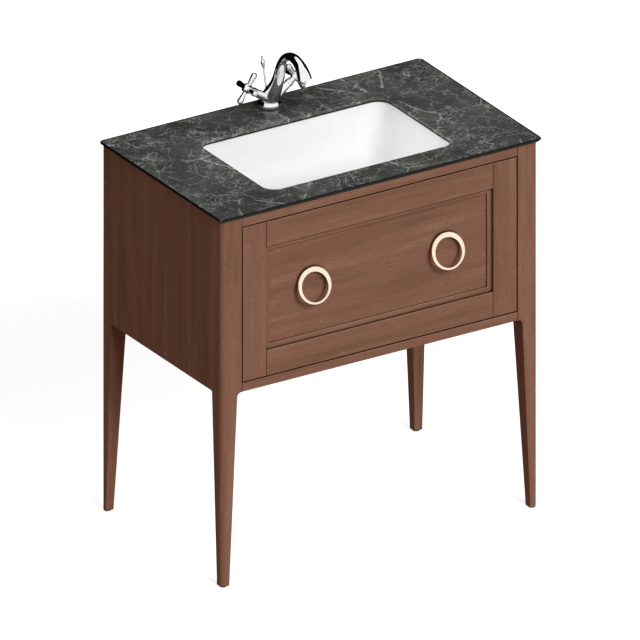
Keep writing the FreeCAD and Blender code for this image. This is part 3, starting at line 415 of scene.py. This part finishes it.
def inset(wires, place, box, axis):
    """How far a place lies inside a box, from the nearer of its two faces across an axis."""
    low, high = (getattr(corner, axis) for corner in box)
    offset = wires.maths("SUBTRACT", wires.part(place, axis), (low + high) / 2)
    return wires.maths("SUBTRACT", (high - low) / 2, wires.maths("ABSOLUTE", offset))


def mitred(wires, place, node):
    """Mask of the upright sticks of a mitred frame."""
    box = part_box(node)
    return wires.maths("LESS_THAN", inset(wires, place, box, "x"), inset(wires, place, box, "z"))


def walnut(name, board, axis, timber, edge_light_strength, frame_node=None, shoulder=None):
    """Oiled walnut of one board: streaks, red patches, pores, pale flecks, a painted highlight on upper
    edges, and painted shade on lower edges and in gaps and crevices.

    The grain of a mitred frame follows its sticks, and a rail has a dark line at its two shoulders.
    """
    material, wires, shader, place = new_finish(name)
    vector = along_grain(wires, place, axis, board)
    if frame_node:
        upright = along_grain(wires, place, "z", board + 1)
        vector = wires.choose(mitred(wires, place, frame_node), vector, upright)
    grain = wires.effect(
        "timber grain", vector=vector, figure_width=timber.figure_width, fibre_width=timber.fibre_width)
    edges = wires.effect("edges and crevice shade", reach=timber.edge_reach)
    wood = wires.blend(wires.remap(grain["Figure"], 0.0, 0.55), timber.walnut_dark, timber.walnut_middle)
    wood = wires.blend(wires.remap(grain["Figure"], 0.45, 1.0), wood, timber.walnut_pale)
    wood = wires.blend(wires.maths("MULTIPLY", grain["Patches"], 0.55), wood, timber.walnut_red)
    wood = wires.blend(wires.maths("MULTIPLY", grain["Pores"], 0.5), wood, timber.walnut_pore)
    flecks = wires.noise(wires.vectors("MULTIPLY", vector, FLECK_COUNT), detail=2.0)
    wood = wires.blend(wires.remap(flecks, 0.65, 0.8, 0.0, 0.4), wood, timber.walnut_fleck_and_highlight)
    # Painted light on the edges: edges that face up get a painted highlight, edges that face down and
    # crevices get painted shade
    rise = wires.part(edges["Normal"], "z")
    upper = wires.maths("MULTIPLY", edges["Edge"], wires.remap(rise, 0.0, 0.3, 0.0, edge_light_strength))
    lower = wires.maths("MULTIPLY", edges["Edge"], wires.remap(rise, -0.3, 0.0, edge_light_strength, 0.0))
    wood = wires.blend(wires.maths("MAXIMUM", lower, edges["Crevice shade"]), wood, timber.walnut_shade_and_joints)
    wood = wires.blend(upper, wood, timber.walnut_fleck_and_highlight)
    if shoulder:
        along = wires.maths("ABSOLUTE", wires.part(place, "x"))
        joint = wires.remap(along, shoulder - JOINT_BEGIN, shoulder - JOINT_FULL, 0.0, JOINT_STRENGTH)
        wood = wires.blend(joint, wood, timber.walnut_shade_and_joints)
    wires.feed(shader.inputs["Base Color"], wood)
    dull = wires.maths("MULTIPLY_ADD", grain["Fibre"], 0.16, timber.gloss - 0.08)
    dull = wires.maths("MULTIPLY_ADD", grain["Pores"], 0.2, dull)
    wires.feed(shader.inputs["Roughness"], dull)
    shader.inputs["Specular IOR Level"].default_value = WALNUT_SHEEN
    height = wires.maths("SUBTRACT", wires.maths("MULTIPLY", grain["Fibre"], 0.35), grain["Pores"])
    bump(wires, shader, height, strength=0.22, depth=0.0003, normal=edges["Normal"])
    return material


def drawer_board(name, board, axis, timber):
    """Lacquered pale board of the drawer box."""
    material, wires, shader, place = new_finish(name)
    grain = wires.effect(
        "timber grain", vector=along_grain(wires, place, axis, board),
        figure_width=timber.figure_width * 0.8, fibre_width=timber.fibre_width * 0.8)
    edges = wires.effect("edges and crevice shade", reach=timber.edge_reach / 2)
    wood = wires.blend(wires.remap(grain["Figure"], 0.0, 0.8), timber.board_dark, timber.board_pale)
    wood = wires.blend(wires.maths("MULTIPLY", grain["Pores"], 0.45), wood, timber.board_pore)
    wires.feed(shader.inputs["Base Color"], wood)
    wires.feed(shader.inputs["Roughness"], wires.maths("MULTIPLY_ADD", grain["Fibre"], 0.2, 0.34))
    shader.inputs["Specular IOR Level"].default_value = BOARD_SHEEN
    bump(wires, shader, grain["Fibre"], strength=0.15, depth=0.0002, normal=edges["Normal"])
    return material


def polished_stone(name, stone):
    """Dark polished stone with clouds, a broken crackle of veins, a few straight cracks, and painted shade
    on its rim, at the foot of the cut-out's edge and round the tap's foot.
    """
    material, wires, shader, place = new_finish(name)

    def pushed(vector, reach, scale, detail):
        """A vector pushed about by smooth noise."""
        push = wires.noise(place, scale, detail, roughness=0.6, output="Color")
        push = wires.vectors("SUBTRACT", push, (0.5, 0.5, 0.5))
        return wires.vectors("MULTIPLY_ADD", push, (reach, reach, reach), vector)

    def web(vector, size, width):
        """Lines of this width between cells of this size."""
        cells = wires.add("ShaderNodeTexVoronoi", {
            "Vector": vector, "Scale": 1.0 / size, "Randomness": 1.0}, feature="DISTANCE_TO_EDGE")
        return wires.remap(cells.outputs["Distance"], 0.0, width / size, 1.0, 0.0)

    def patches(scale, low, high):
        """Soft patches, so many to a metre."""
        return wires.remap(wires.noise(place, scale, roughness=0.6, distortion=0.4), low, high)

    shaken = pushed(place, reach=0.013, scale=70.0, detail=3.0)
    warped = pushed(shaken, reach=0.05, scale=13.0, detail=4.0)
    crowd = patches(7.0, 0.4, 0.62)
    broken = patches(38.0, 0.36, 0.62)
    cracks = web(shaken, stone.crack_size, CRACK_WIDTH)
    cracks = wires.maths("MULTIPLY", cracks, patches(11.0, 0.46, 0.58))
    coarse = wires.maths("MULTIPLY", web(warped, stone.web_size, WEB_WIDTH), broken)
    fine = wires.maths("MULTIPLY", web(warped, stone.fine_web_size, FINE_WEB_WIDTH), broken)
    fine = wires.maths("MULTIPLY", fine, wires.maths("MULTIPLY_ADD", crowd, 0.75, 0.2))
    flecks = wires.remap(wires.noise(warped, scale=150.0, roughness=0.6), 0.6, 0.76)
    flecks = wires.maths("MULTIPLY", crowd, flecks)
    clouds = wires.noise(place, scale=8.0, detail=6.0, roughness=0.62, distortion=0.7)
    tone = wires.blend(wires.remap(clouds, 0.3, 0.72), stone.ground, stone.cloud)
    for mask, strength in ((fine, 0.7), (coarse, 0.6), (flecks, 0.45)):
        tone = wires.blend(wires.maths("MULTIPLY", mask, strength), tone, stone.vein)
    tone = wires.blend(wires.maths("MULTIPLY", cracks, 0.8), tone, stone.bright_vein)
    # Painted shade: a dark band round the top's outer edge, and a dark line at the foot of the cut-out's
    # side faces
    flank = wires.remap(wires.part(wires.normal(), "z"), 0.3, 0.7, 1.0, 0.0)
    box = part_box("countertop")
    from_rim = wires.maths("MINIMUM", inset(wires, place, box, "x"), inset(wires, place, box, "y"))
    rim = wires.remap(from_rim, stone.rim * 0.6, stone.rim, 1.0, 0.0)
    under = box[0].z
    foot = wires.remap(
        wires.part(place, "z"), under + stone.foot_line * 0.7, under + stone.foot_line, 1.0, 0.0)
    dark = wires.maths("MAXIMUM", rim, wires.maths("MULTIPLY", flank, foot))
    tone = wires.blend(dark, tone, stone.shade)
    # Painted shadow and dark reflection of the tap's foot: the top darkens round it by how much of the sky
    # the tap hides
    openness = wires.add("ShaderNodeAmbientOcclusion", {"Distance": stone.shade_reach}).outputs["AO"]
    tone = wires.blend(wires.remap(openness, 0.7, 0.95, 0.5, 0.0), tone, stone.shade)
    marks = wires.effect(
        "handling marks", vector=place, patch_size=0.09, dullness=stone.gloss - 0.03, spread=0.06)
    edges = wires.effect("edges and crevice shade", reach=0.0008)
    wires.feed(shader.inputs["Base Color"], tone)
    wires.feed(shader.inputs["Roughness"], wires.maths("MULTIPLY_ADD", flank, 0.5, marks["Roughness"]))
    shader.inputs["Specular IOR Level"].default_value = STONE_SHEEN
    sunk = wires.maths("MULTIPLY", cracks, -1.0)
    bump(wires, shader, sunk, strength=0.05, depth=0.0002, normal=edges["Normal"])
    return material


def ware(name, main, shade, patch, dullness, spread, relief, edge, specular=0.5):
    """A moulded or glazed finish: two near colours in soft patches, with a faint ripple."""
    material, wires, shader, place = new_finish(name)
    marks = wires.effect("handling marks", vector=place, patch_size=patch, dullness=dullness, spread=spread)
    edges = wires.effect("edges and crevice shade", reach=edge)
    tone = wires.blend(marks["Patches"], main, shade)
    tone = wires.blend(wires.maths("MULTIPLY", edges["Edge"], 0.3), tone, shade)
    wires.feed(shader.inputs["Base Color"], tone)
    wires.feed(shader.inputs["Roughness"], marks["Roughness"])
    shader.inputs["Specular IOR Level"].default_value = specular
    bump(wires, shader, marks["Ripple"], strength=relief, depth=0.0003, normal=edges["Normal"])
    return material


def metal(name, main, film, patch, dullness, spread, relief, edge, side=None):
    """A worked or plated metal with a thin film in patches, fine scratches and, if given, painted shade on
    its sides.
    """
    material, wires, shader, place = new_finish(name)
    marks = wires.effect("handling marks", vector=place, patch_size=patch, dullness=dullness, spread=spread)
    edges = wires.effect("edges and crevice shade", reach=edge)
    tone = wires.blend(wires.maths("MULTIPLY", marks["Patches"], 0.6), main, film)
    tone = wires.blend(wires.maths("MULTIPLY", edges["Edge"], 0.25), tone, main)
    if side:
        # Painted shade: faces that turn away from the front take the side colour
        forward = wires.maths("ABSOLUTE", wires.part(wires.normal(), "y"))
        tone = wires.blend(wires.remap(forward, 0.3, 0.75, 1.0, 0.0), tone, side)
    wires.feed(shader.inputs["Base Color"], tone)
    wires.feed(shader.inputs["Roughness"], marks["Roughness"])
    shader.inputs["Metallic"].default_value = 1.0
    bump(wires, shader, marks["Ripple"], strength=relief, depth=0.0002, normal=edges["Normal"])
    return material


def zinc_plate(name, metals):
    """Zinc plate with its crystal spangles."""
    material, wires, shader, place = new_finish(name)
    cells = wires.add("ShaderNodeTexVoronoi", {"Vector": place, "Scale": 260.0}, feature="F1")
    spangle = wires.part(cells.outputs["Color"], "x")
    marks = wires.effect("handling marks", vector=place, patch_size=0.03, dullness=0.3, spread=0.14)
    edges = wires.effect("edges and crevice shade", reach=0.0004)
    wires.feed(shader.inputs["Base Color"], wires.blend(spangle, metals.zinc, metals.zinc_shade))
    wires.feed(shader.inputs["Roughness"], wires.maths("MULTIPLY_ADD", spangle, 0.1, marks["Roughness"]))
    shader.inputs["Metallic"].default_value = 1.0
    bump(wires, shader, marks["Ripple"], strength=0.05, depth=0.0002, normal=edges["Normal"])
    return material


def dress(material, *names):
    """Puts a finish on CAD nodes."""
    for name in names:
        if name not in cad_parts:
            raise RuntimeError(f"the packed model has no node {name}")
        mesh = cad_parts[name].data
        mesh.materials.clear()
        mesh.materials.append(material)


# Operators

# First board of each group, because each board's number sets its place in the tree
FRONT_BOARDS = 20
MOULDING_BOARD = 30
BOX_BOARDS = 40

# Corners of a flat sheet in half sides, and the plain light's colour
SQUARE = ((-1, -1), (1, -1), (1, 1), (-1, 1))
WHITE = (1.0, 1.0, 1.0)

# Floor: half its side and its drop below the feet in metres, and the strength of its glow
FLOOR_HALF = 9.0
FLOOR_DROP = 0.0002
FLOOR_GLOW = 0.7

# Soft box: where it hangs, where it points and its side in metres, and how wide its light spreads
SOFT_BOX_PLACE = Vector((-0.42, 0.07, 1.04))
SOFT_BOX_AIM = Vector((0.22, -0.07, 0.79))
SOFT_BOX_SIZE = 0.16
SOFT_BOX_SPREAD = math.radians(40.0)

# Screen: its profile as radius and height in metres, and its two ends as turns from straight behind
SCREEN_PROFILE = ((0.9, 0.001), (1.7, 0.001), (1.7, 3.4))
SCREEN_LEFT = math.radians(112.0)
SCREEN_RIGHT = math.radians(-72.0)
SCREEN_STEPS = 24

# Camera: how far off it stands and how far it sees, in metres
CAMERA_DISTANCE = 4.0
CAMERA_REACH = 50.0


class VANITY_OT_effects(bpy.types.Operator):
    """Builds the effects that several finishes share"""

    bl_idname = "vanity.effects"
    bl_label = "Shared effects"

    def execute(self, context):
        make_grain()
        make_edges()
        make_handling()
        return {"FINISHED"}


class VANITY_OT_stage(bpy.types.Operator):
    """Lays the floor and sets the light, the sheets that mirrors see and the camera"""

    bl_idname = "vanity.stage"
    bl_label = "Stage"

    def execute(self, context):
        stage = context.scene.vanity_stage
        self.lay_floor(context, stage)
        self.light(context, stage)
        self.stand_screen(context, stage)
        self.lay_card(context, stage)
        self.place_camera(context, stage)
        context.scene.view_settings.view_transform = "Standard"
        return {"FINISHED"}

    def seen_directly(self, wires):
        """1 for the rays that show the background itself or its reflection."""
        path = wires.add("ShaderNodeLightPath").outputs
        mirrored = wires.maths("MAXIMUM", path["Is Glossy Ray"], path["Is Transmission Ray"])
        return wires.maths("MAXIMUM", path["Is Camera Ray"], mirrored)

    def lay_sheet(self, context, name, finish, corners, faces):
        """A sheet of the stage and the wires of its material."""
        mesh = bpy.data.meshes.new(name)
        mesh.from_pydata(corners, [], faces)
        sheet = bpy.data.objects.new(name, mesh)
        context.scene.collection.objects.link(sheet)
        material, wires = bare_material(finish)
        mesh.materials.append(material)
        return sheet, wires

    def show_to_mirrors(self, sheet):
        """Hides a sheet from the camera and from the light on the object."""
        sheet.visible_camera = False
        sheet.visible_diffuse = False
        sheet.visible_shadow = False

    def lay_floor(self, context, stage):
        """A pale floor that sends back a dimmer, warmer light than it shows."""
        level = cad_box[0][2] - FLOOR_DROP
        corners = [(across * FLOOR_HALF, along * FLOOR_HALF, level) for across, along in SQUARE]
        floor, wires = self.lay_sheet(context, "floor", "studio floor", corners, [(0, 1, 2, 3)])
        shown = wires.add("ShaderNodeBsdfDiffuse", {"Color": stage.floor})
        glow = wires.add("ShaderNodeEmission", {"Color": stage.floor, "Strength": FLOOR_GLOW})
        bright = wires.add("ShaderNodeAddShader", {0: shown.outputs[0], 1: glow.outputs[0]})
        dim = wires.add("ShaderNodeBsdfDiffuse", {"Color": stage.bounce})
        mixed = wires.add("ShaderNodeMixShader", {
            0: self.seen_directly(wires), 1: dim.outputs[0], 2: bright.outputs[0]})
        wires.add("ShaderNodeOutputMaterial", {"Surface": mixed.outputs[0]})

    def hang_key(self, context, stage):
        """The soft key light, which no mirror sees."""
        lamp = bpy.data.lights.new("key", "SUN")
        lamp.energy = stage.key_level * math.pi
        lamp.angle = stage.key_size
        hung = bpy.data.objects.new("key", lamp)
        hung.rotation_euler = (math.pi / 2 - stage.key_elevation, 0.0, stage.key_azimuth)
        hung.visible_glossy = False
        context.scene.collection.objects.link(hung)

    def hang_soft_box(self, context, stage):
        """A small soft box at the worktop's left, unseen by mirrors, which lifts the basin's right wall."""
        lamp = bpy.data.lights.new("soft box", "AREA")
        lamp.energy = stage.box_power
        lamp.size = SOFT_BOX_SIZE
        lamp.spread = SOFT_BOX_SPREAD
        hung = bpy.data.objects.new("soft box", lamp)
        hung.location = SOFT_BOX_PLACE
        hung.rotation_euler = (SOFT_BOX_AIM - SOFT_BOX_PLACE).to_track_quat("-Z", "Y").to_euler()
        hung.visible_camera = False
        hung.visible_glossy = False
        context.scene.collection.objects.link(hung)

    def stand_screen(self, context, stage):
        """A dark curved screen behind the object with a dark cloth at its foot, which only mirrors see."""
        rows = len(SCREEN_PROFILE)
        corners = []
        faces = []
        for step in range(SCREEN_STEPS + 1):
            swing = SCREEN_LEFT + (SCREEN_RIGHT - SCREEN_LEFT) * step / SCREEN_STEPS
            turn = math.pi / 2 + stage.azimuth + swing
            for radius, level in SCREEN_PROFILE:
                corners.append((radius * math.cos(turn), radius * math.sin(turn), level))
        for first in range(0, rows * SCREEN_STEPS, rows):
            for near in range(first, first + rows - 1):
                after = near + rows
                faces.append((near, after, after + 1, near + 1))
        screen, wires = self.lay_sheet(context, "screen", "dark screen", corners, faces)
        self.show_to_mirrors(screen)
        cloth = wires.add("ShaderNodeBsdfDiffuse", {"Color": stage.screen})
        wires.add("ShaderNodeOutputMaterial", {"Surface": cloth.outputs[0]})

    def lay_card(self, context, stage):
        """A pale card over the basin's floor, which only mirrors see, so that the tap's neck shines."""
        low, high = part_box("basin")
        middle = (low + high) / 2
        half = (high - low) / 2 * stage.card_share
        corners = []
        for across, along in SQUARE:
            corners.append((middle.x + across * half.x, middle.y + along * half.y, stage.card_level))
        card, wires = self.lay_sheet(context, "card", "pale card", corners, [(0, 1, 2, 3)])
        self.show_to_mirrors(card)
        glow = wires.add("ShaderNodeEmission", {"Color": WHITE, "Strength": stage.card_glow})
        wires.add("ShaderNodeOutputMaterial", {"Surface": glow.outputs[0]})

    def light(self, context, stage):
        """Hangs the lamps and sets the even light from all round."""
        self.hang_key(context, stage)
        self.hang_soft_box(context, stage)
        world = bpy.data.worlds.new("studio")
        world.use_nodes = True
        world.node_tree.nodes.clear()
        wires = Wires(world.node_tree)
        strength = wires.add("ShaderNodeMapRange", {
            "Value": self.seen_directly(wires), "To Min": stage.fill_level, "To Max": 1.0}).outputs[0]
        white = wires.add("ShaderNodeBackground", {"Color": WHITE, "Strength": strength})
        wires.add("ShaderNodeOutputWorld", {"Surface": white.outputs[0]})
        context.scene.world = world

    def place_camera(self, context, stage):
        """Sets the camera, a parallel view, at the photograph's angle."""
        lens = bpy.data.cameras.new("camera")
        lens.type = "ORTHO"
        lens.ortho_scale = stage.width
        lens.clip_end = CAMERA_REACH
        camera = bpy.data.objects.new("camera", lens)
        context.scene.collection.objects.link(camera)
        flat = math.cos(stage.elevation)
        back = Vector((
            math.sin(stage.azimuth) * flat, -math.cos(stage.azimuth) * flat, math.sin(stage.elevation)))
        camera.location = Vector(stage.aim) + back * CAMERA_DISTANCE
        camera.rotation_euler = (math.pi / 2 - stage.elevation, 0.0, stage.azimuth)
        context.scene.camera = camera


class VANITY_OT_carcass(bpy.types.Operator):
    """Finishes the posts, panels and rails of the cabinet, and the glides under its feet"""

    bl_idname = "vanity.carcass"
    bl_label = "Carcass"

    def execute(self, context):
        timber = context.scene.vanity_timber
        wares = context.scene.vanity_ware
        upright = ["leg_front_left", "leg_front_right", "leg_back_left", "leg_back_right",
                   "side_panel_left", "side_panel_right"]
        level = ["top_front_rail", "bottom_front_rail", "top_back_rail", "bottom_back_rail"]
        # Posts and panels take a weak painted highlight and shade on their edges, the rails a strong one
        for board, name in enumerate(upright):
            dress(walnut("walnut " + name, board, "z", timber, timber.post_edge_light), name)
        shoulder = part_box("leg_front_right")[0].x
        for board, name in enumerate(level, len(upright)):
            dress(walnut("walnut " + name, board, "x", timber, timber.rail_edge_light, shoulder=shoulder), name)
        glide = ware(
            "glide plastic", wares.glide, wares.glide_shade,
            patch=0.006, dullness=0.5, spread=0.2, relief=0.2, edge=0.0004, specular=0.4)
        dress(glide, "foot_glides")
        return {"FINISHED"}


class VANITY_OT_drawer_front(bpy.types.Operator):
    """Finishes the drawer's frame, panel and mitred moulding"""

    bl_idname = "vanity.drawer_front"
    bl_label = "Drawer front"

    def execute(self, context):
        timber = context.scene.vanity_timber
        grains = {"drawer_stile_left": "z", "drawer_stile_right": "z", "drawer_rail_top": "x",
                  "drawer_rail_bottom": "x", "drawer_panel": "x"}
        rails = ("drawer_rail_top", "drawer_rail_bottom")
        shoulders = dict.fromkeys(rails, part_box("drawer_stile_right")[0].x)
        # Strength of the painted highlight and shade on the drawer front's edges
        front_edge_light = timber.rail_edge_light
        for board, (name, axis) in enumerate(grains.items(), FRONT_BOARDS):
            dress(walnut("walnut " + name, board, axis, timber, front_edge_light, shoulder=shoulders.get(name)), name)
        moulding = walnut(
            "walnut drawer_moulding", MOULDING_BOARD, "x", timber, front_edge_light, frame_node="drawer_moulding")
        dress(moulding, "drawer_moulding")
        return {"FINISHED"}


class VANITY_OT_ring_pulls(bpy.types.Operator):
    """Finishes the two ring pulls"""

    bl_idname = "vanity.ring_pulls"
    bl_label = "Ring pulls"

    def execute(self, context):
        metals = context.scene.vanity_metal
        # The pulls' sides take painted shade
        finish = metal(
            "pull metal", metals.pull, metals.pull_film, patch=0.02, dullness=metals.pull_gloss,
            spread=0.08, relief=0.04, edge=0.0006, side=metals.pull_side_shade)
        dress(finish, "ring_pull_left", "ring_pull_right")
        return {"FINISHED"}


class VANITY_OT_drawer_box(bpy.types.Operator):
    """Finishes the boards of the drawer box and the battens of its slides"""

    bl_idname = "vanity.drawer_box"
    bl_label = "Drawer box"

    def execute(self, context):
        timber = context.scene.vanity_timber
        grains = {"drawer_side_left": "y", "drawer_side_right": "y", "drawer_box_front": "x",
                  "drawer_back": "x", "drawer_well": "x", "drawer_bottom": "x", "slide_battens": "y"}
        for board, (name, axis) in enumerate(grains.items(), BOX_BOARDS):
            dress(drawer_board("board " + name, board, axis, timber), name)
        return {"FINISHED"}


class VANITY_OT_slides(bpy.types.Operator):
    """Finishes the drawer slides, the screws and the basin's clips"""

    bl_idname = "vanity.slides"
    bl_label = "Slides and fixings"

    def execute(self, context):
        zinc = zinc_plate("zinc plate", context.scene.vanity_metal)
        for member in ("slide_cabinet", "slide_middle", "slide_drawer"):
            dress(zinc, member + "_left", member + "_right")
        dress(zinc, "drawer_screws", "basin_clips")
        return {"FINISHED"}


class VANITY_OT_worktop(bpy.types.Operator):
    """Finishes the stone worktop"""

    bl_idname = "vanity.worktop"
    bl_label = "Worktop"

    def execute(self, context):
        dress(polished_stone("dark stone", context.scene.vanity_stone), "countertop")
        return {"FINISHED"}


class VANITY_OT_basin(bpy.types.Operator):
    """Finishes the basin and its seal"""

    bl_idname = "vanity.basin"
    bl_label = "Basin"

    def execute(self, context):
        wares = context.scene.vanity_ware
        glaze = ware(
            "white glaze", wares.glaze, wares.glaze_shade,
            patch=0.14, dullness=0.06, spread=0.05, relief=0.03, edge=0.001)
        dress(glaze, "basin")
        seal = ware(
            "silicone", wares.silicone, wares.silicone_shade,
            patch=0.02, dullness=0.35, spread=0.15, relief=0.15, edge=0.0004)
        dress(seal, "basin_seal")
        return {"FINISHED"}


class VANITY_OT_tap(bpy.types.Operator):
    """Finishes the tap, its handles and fixings, and the lift rod"""

    bl_idname = "vanity.tap"
    bl_label = "Tap"

    def execute(self, context):
        metals = context.scene.vanity_metal
        wares = context.scene.vanity_ware
        chrome = metal(
            "tap chrome", metals.chrome, metals.chrome_film,
            patch=0.025, dullness=metals.chrome_gloss, spread=0.04, relief=0.0, edge=0.0004)
        dress(chrome, "tap_body", "tap_base_ring", "tap_bonnet_left", "tap_bonnet_right",
              "cross_handle_left", "cross_handle_right", "tap_aerator", "lift_rod")
        brass = metal(
            "tap brass", metals.brass, metals.brass_tarnish,
            patch=0.018, dullness=0.22, spread=0.2, relief=0.05, edge=0.0004)
        dress(brass, "tap_shank", "tap_backnut")
        rubber = ware(
            "tap gasket rubber", wares.rubber, wares.rubber_bloom,
            patch=0.01, dullness=0.6, spread=0.25, relief=0.2, edge=0.0003, specular=0.3)
        dress(rubber, "tap_gasket")
        return {"FINISHED"}


class VANITY_OT_waste(bpy.types.Operator):
    """Finishes the waste, its pop-up linkage and the trap"""

    bl_idname = "vanity.waste"
    bl_label = "Waste and trap"

    def execute(self, context):
        metals = context.scene.vanity_metal
        wares = context.scene.vanity_ware
        chrome = metal(
            "waste chrome", metals.chrome, metals.chrome_film,
            patch=0.02, dullness=0.06, spread=0.08, relief=0.0, edge=0.0004)
        dress(chrome, "waste_flange", "waste_plug", "pivot_rod", "linkage_strap")
        brass = metal(
            "waste brass", metals.brass, metals.brass_tarnish,
            patch=0.03, dullness=0.24, spread=0.2, relief=0.05, edge=0.0005)
        dress(brass, "waste_body", "waste_nut", "pivot_nut")
        rubber = ware(
            "washer rubber", wares.rubber, wares.rubber_bloom,
            patch=0.012, dullness=0.6, spread=0.25, relief=0.2, edge=0.0004, specular=0.3)
        dress(rubber, "waste_washer")
        plastic = ware(
            "trap plastic", wares.plastic, wares.plastic_shade,
            patch=0.05, dullness=0.32, spread=0.14, relief=0.1, edge=0.0008)
        dress(plastic, "trap_head", "trap_cup", "trap_outlet_pipe", "trap_nuts")
        return {"FINISHED"}


GROUPS = {
    "vanity_timber": VanityTimber,
    "vanity_stone": VanityStone,
    "vanity_ware": VanityWare,
    "vanity_metal": VanityMetal,
    "vanity_stage": VanityStage,
}
OPERATORS = (
    VANITY_OT_effects,
    VANITY_OT_stage,
    VANITY_OT_carcass,
    VANITY_OT_drawer_front,
    VANITY_OT_ring_pulls,
    VANITY_OT_drawer_box,
    VANITY_OT_slides,
    VANITY_OT_worktop,
    VANITY_OT_basin,
    VANITY_OT_tap,
    VANITY_OT_waste,
)


class VANITY_PT_looks(bpy.types.Panel):
    """Lists the finishes, their values and the steps that make them."""

    bl_idname = "VANITY_PT_looks"
    bl_label = "Vanity unit"
    bl_space_type = "VIEW_3D"
    bl_region_type = "UI"
    bl_category = "Vanity"

    def draw(self, context):
        for name, group in GROUPS.items():
            box = self.layout.box()
            box.label(text=group.__doc__)
            for key in group.__annotations__:
                box.prop(getattr(context.scene, name), key)
        for operator in OPERATORS:
            self.layout.operator(operator.bl_idname)


def register():
    for name, group in GROUPS.items():
        bpy.utils.register_class(group)
        setattr(bpy.types.Scene, name, PointerProperty(type=group))
    for operator in OPERATORS:
        bpy.utils.register_class(operator)
    bpy.utils.register_class(VANITY_PT_looks)


def unregister():
    bpy.utils.unregister_class(VANITY_PT_looks)
    for operator in reversed(OPERATORS):
        bpy.utils.unregister_class(operator)
    for name, group in GROUPS.items():
        delattr(bpy.types.Scene, name)
        bpy.utils.unregister_class(group)


def main():
    register()
    bpy.ops.vanity.effects()
    bpy.ops.vanity.stage()
    bpy.ops.vanity.carcass()
    bpy.ops.vanity.drawer_front()
    bpy.ops.vanity.ring_pulls()
    bpy.ops.vanity.drawer_box()
    bpy.ops.vanity.slides()
    bpy.ops.vanity.worktop()
    bpy.ops.vanity.basin()
    bpy.ops.vanity.tap()
    bpy.ops.vanity.waste()
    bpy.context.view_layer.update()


if __name__ == "__main__":
    main()
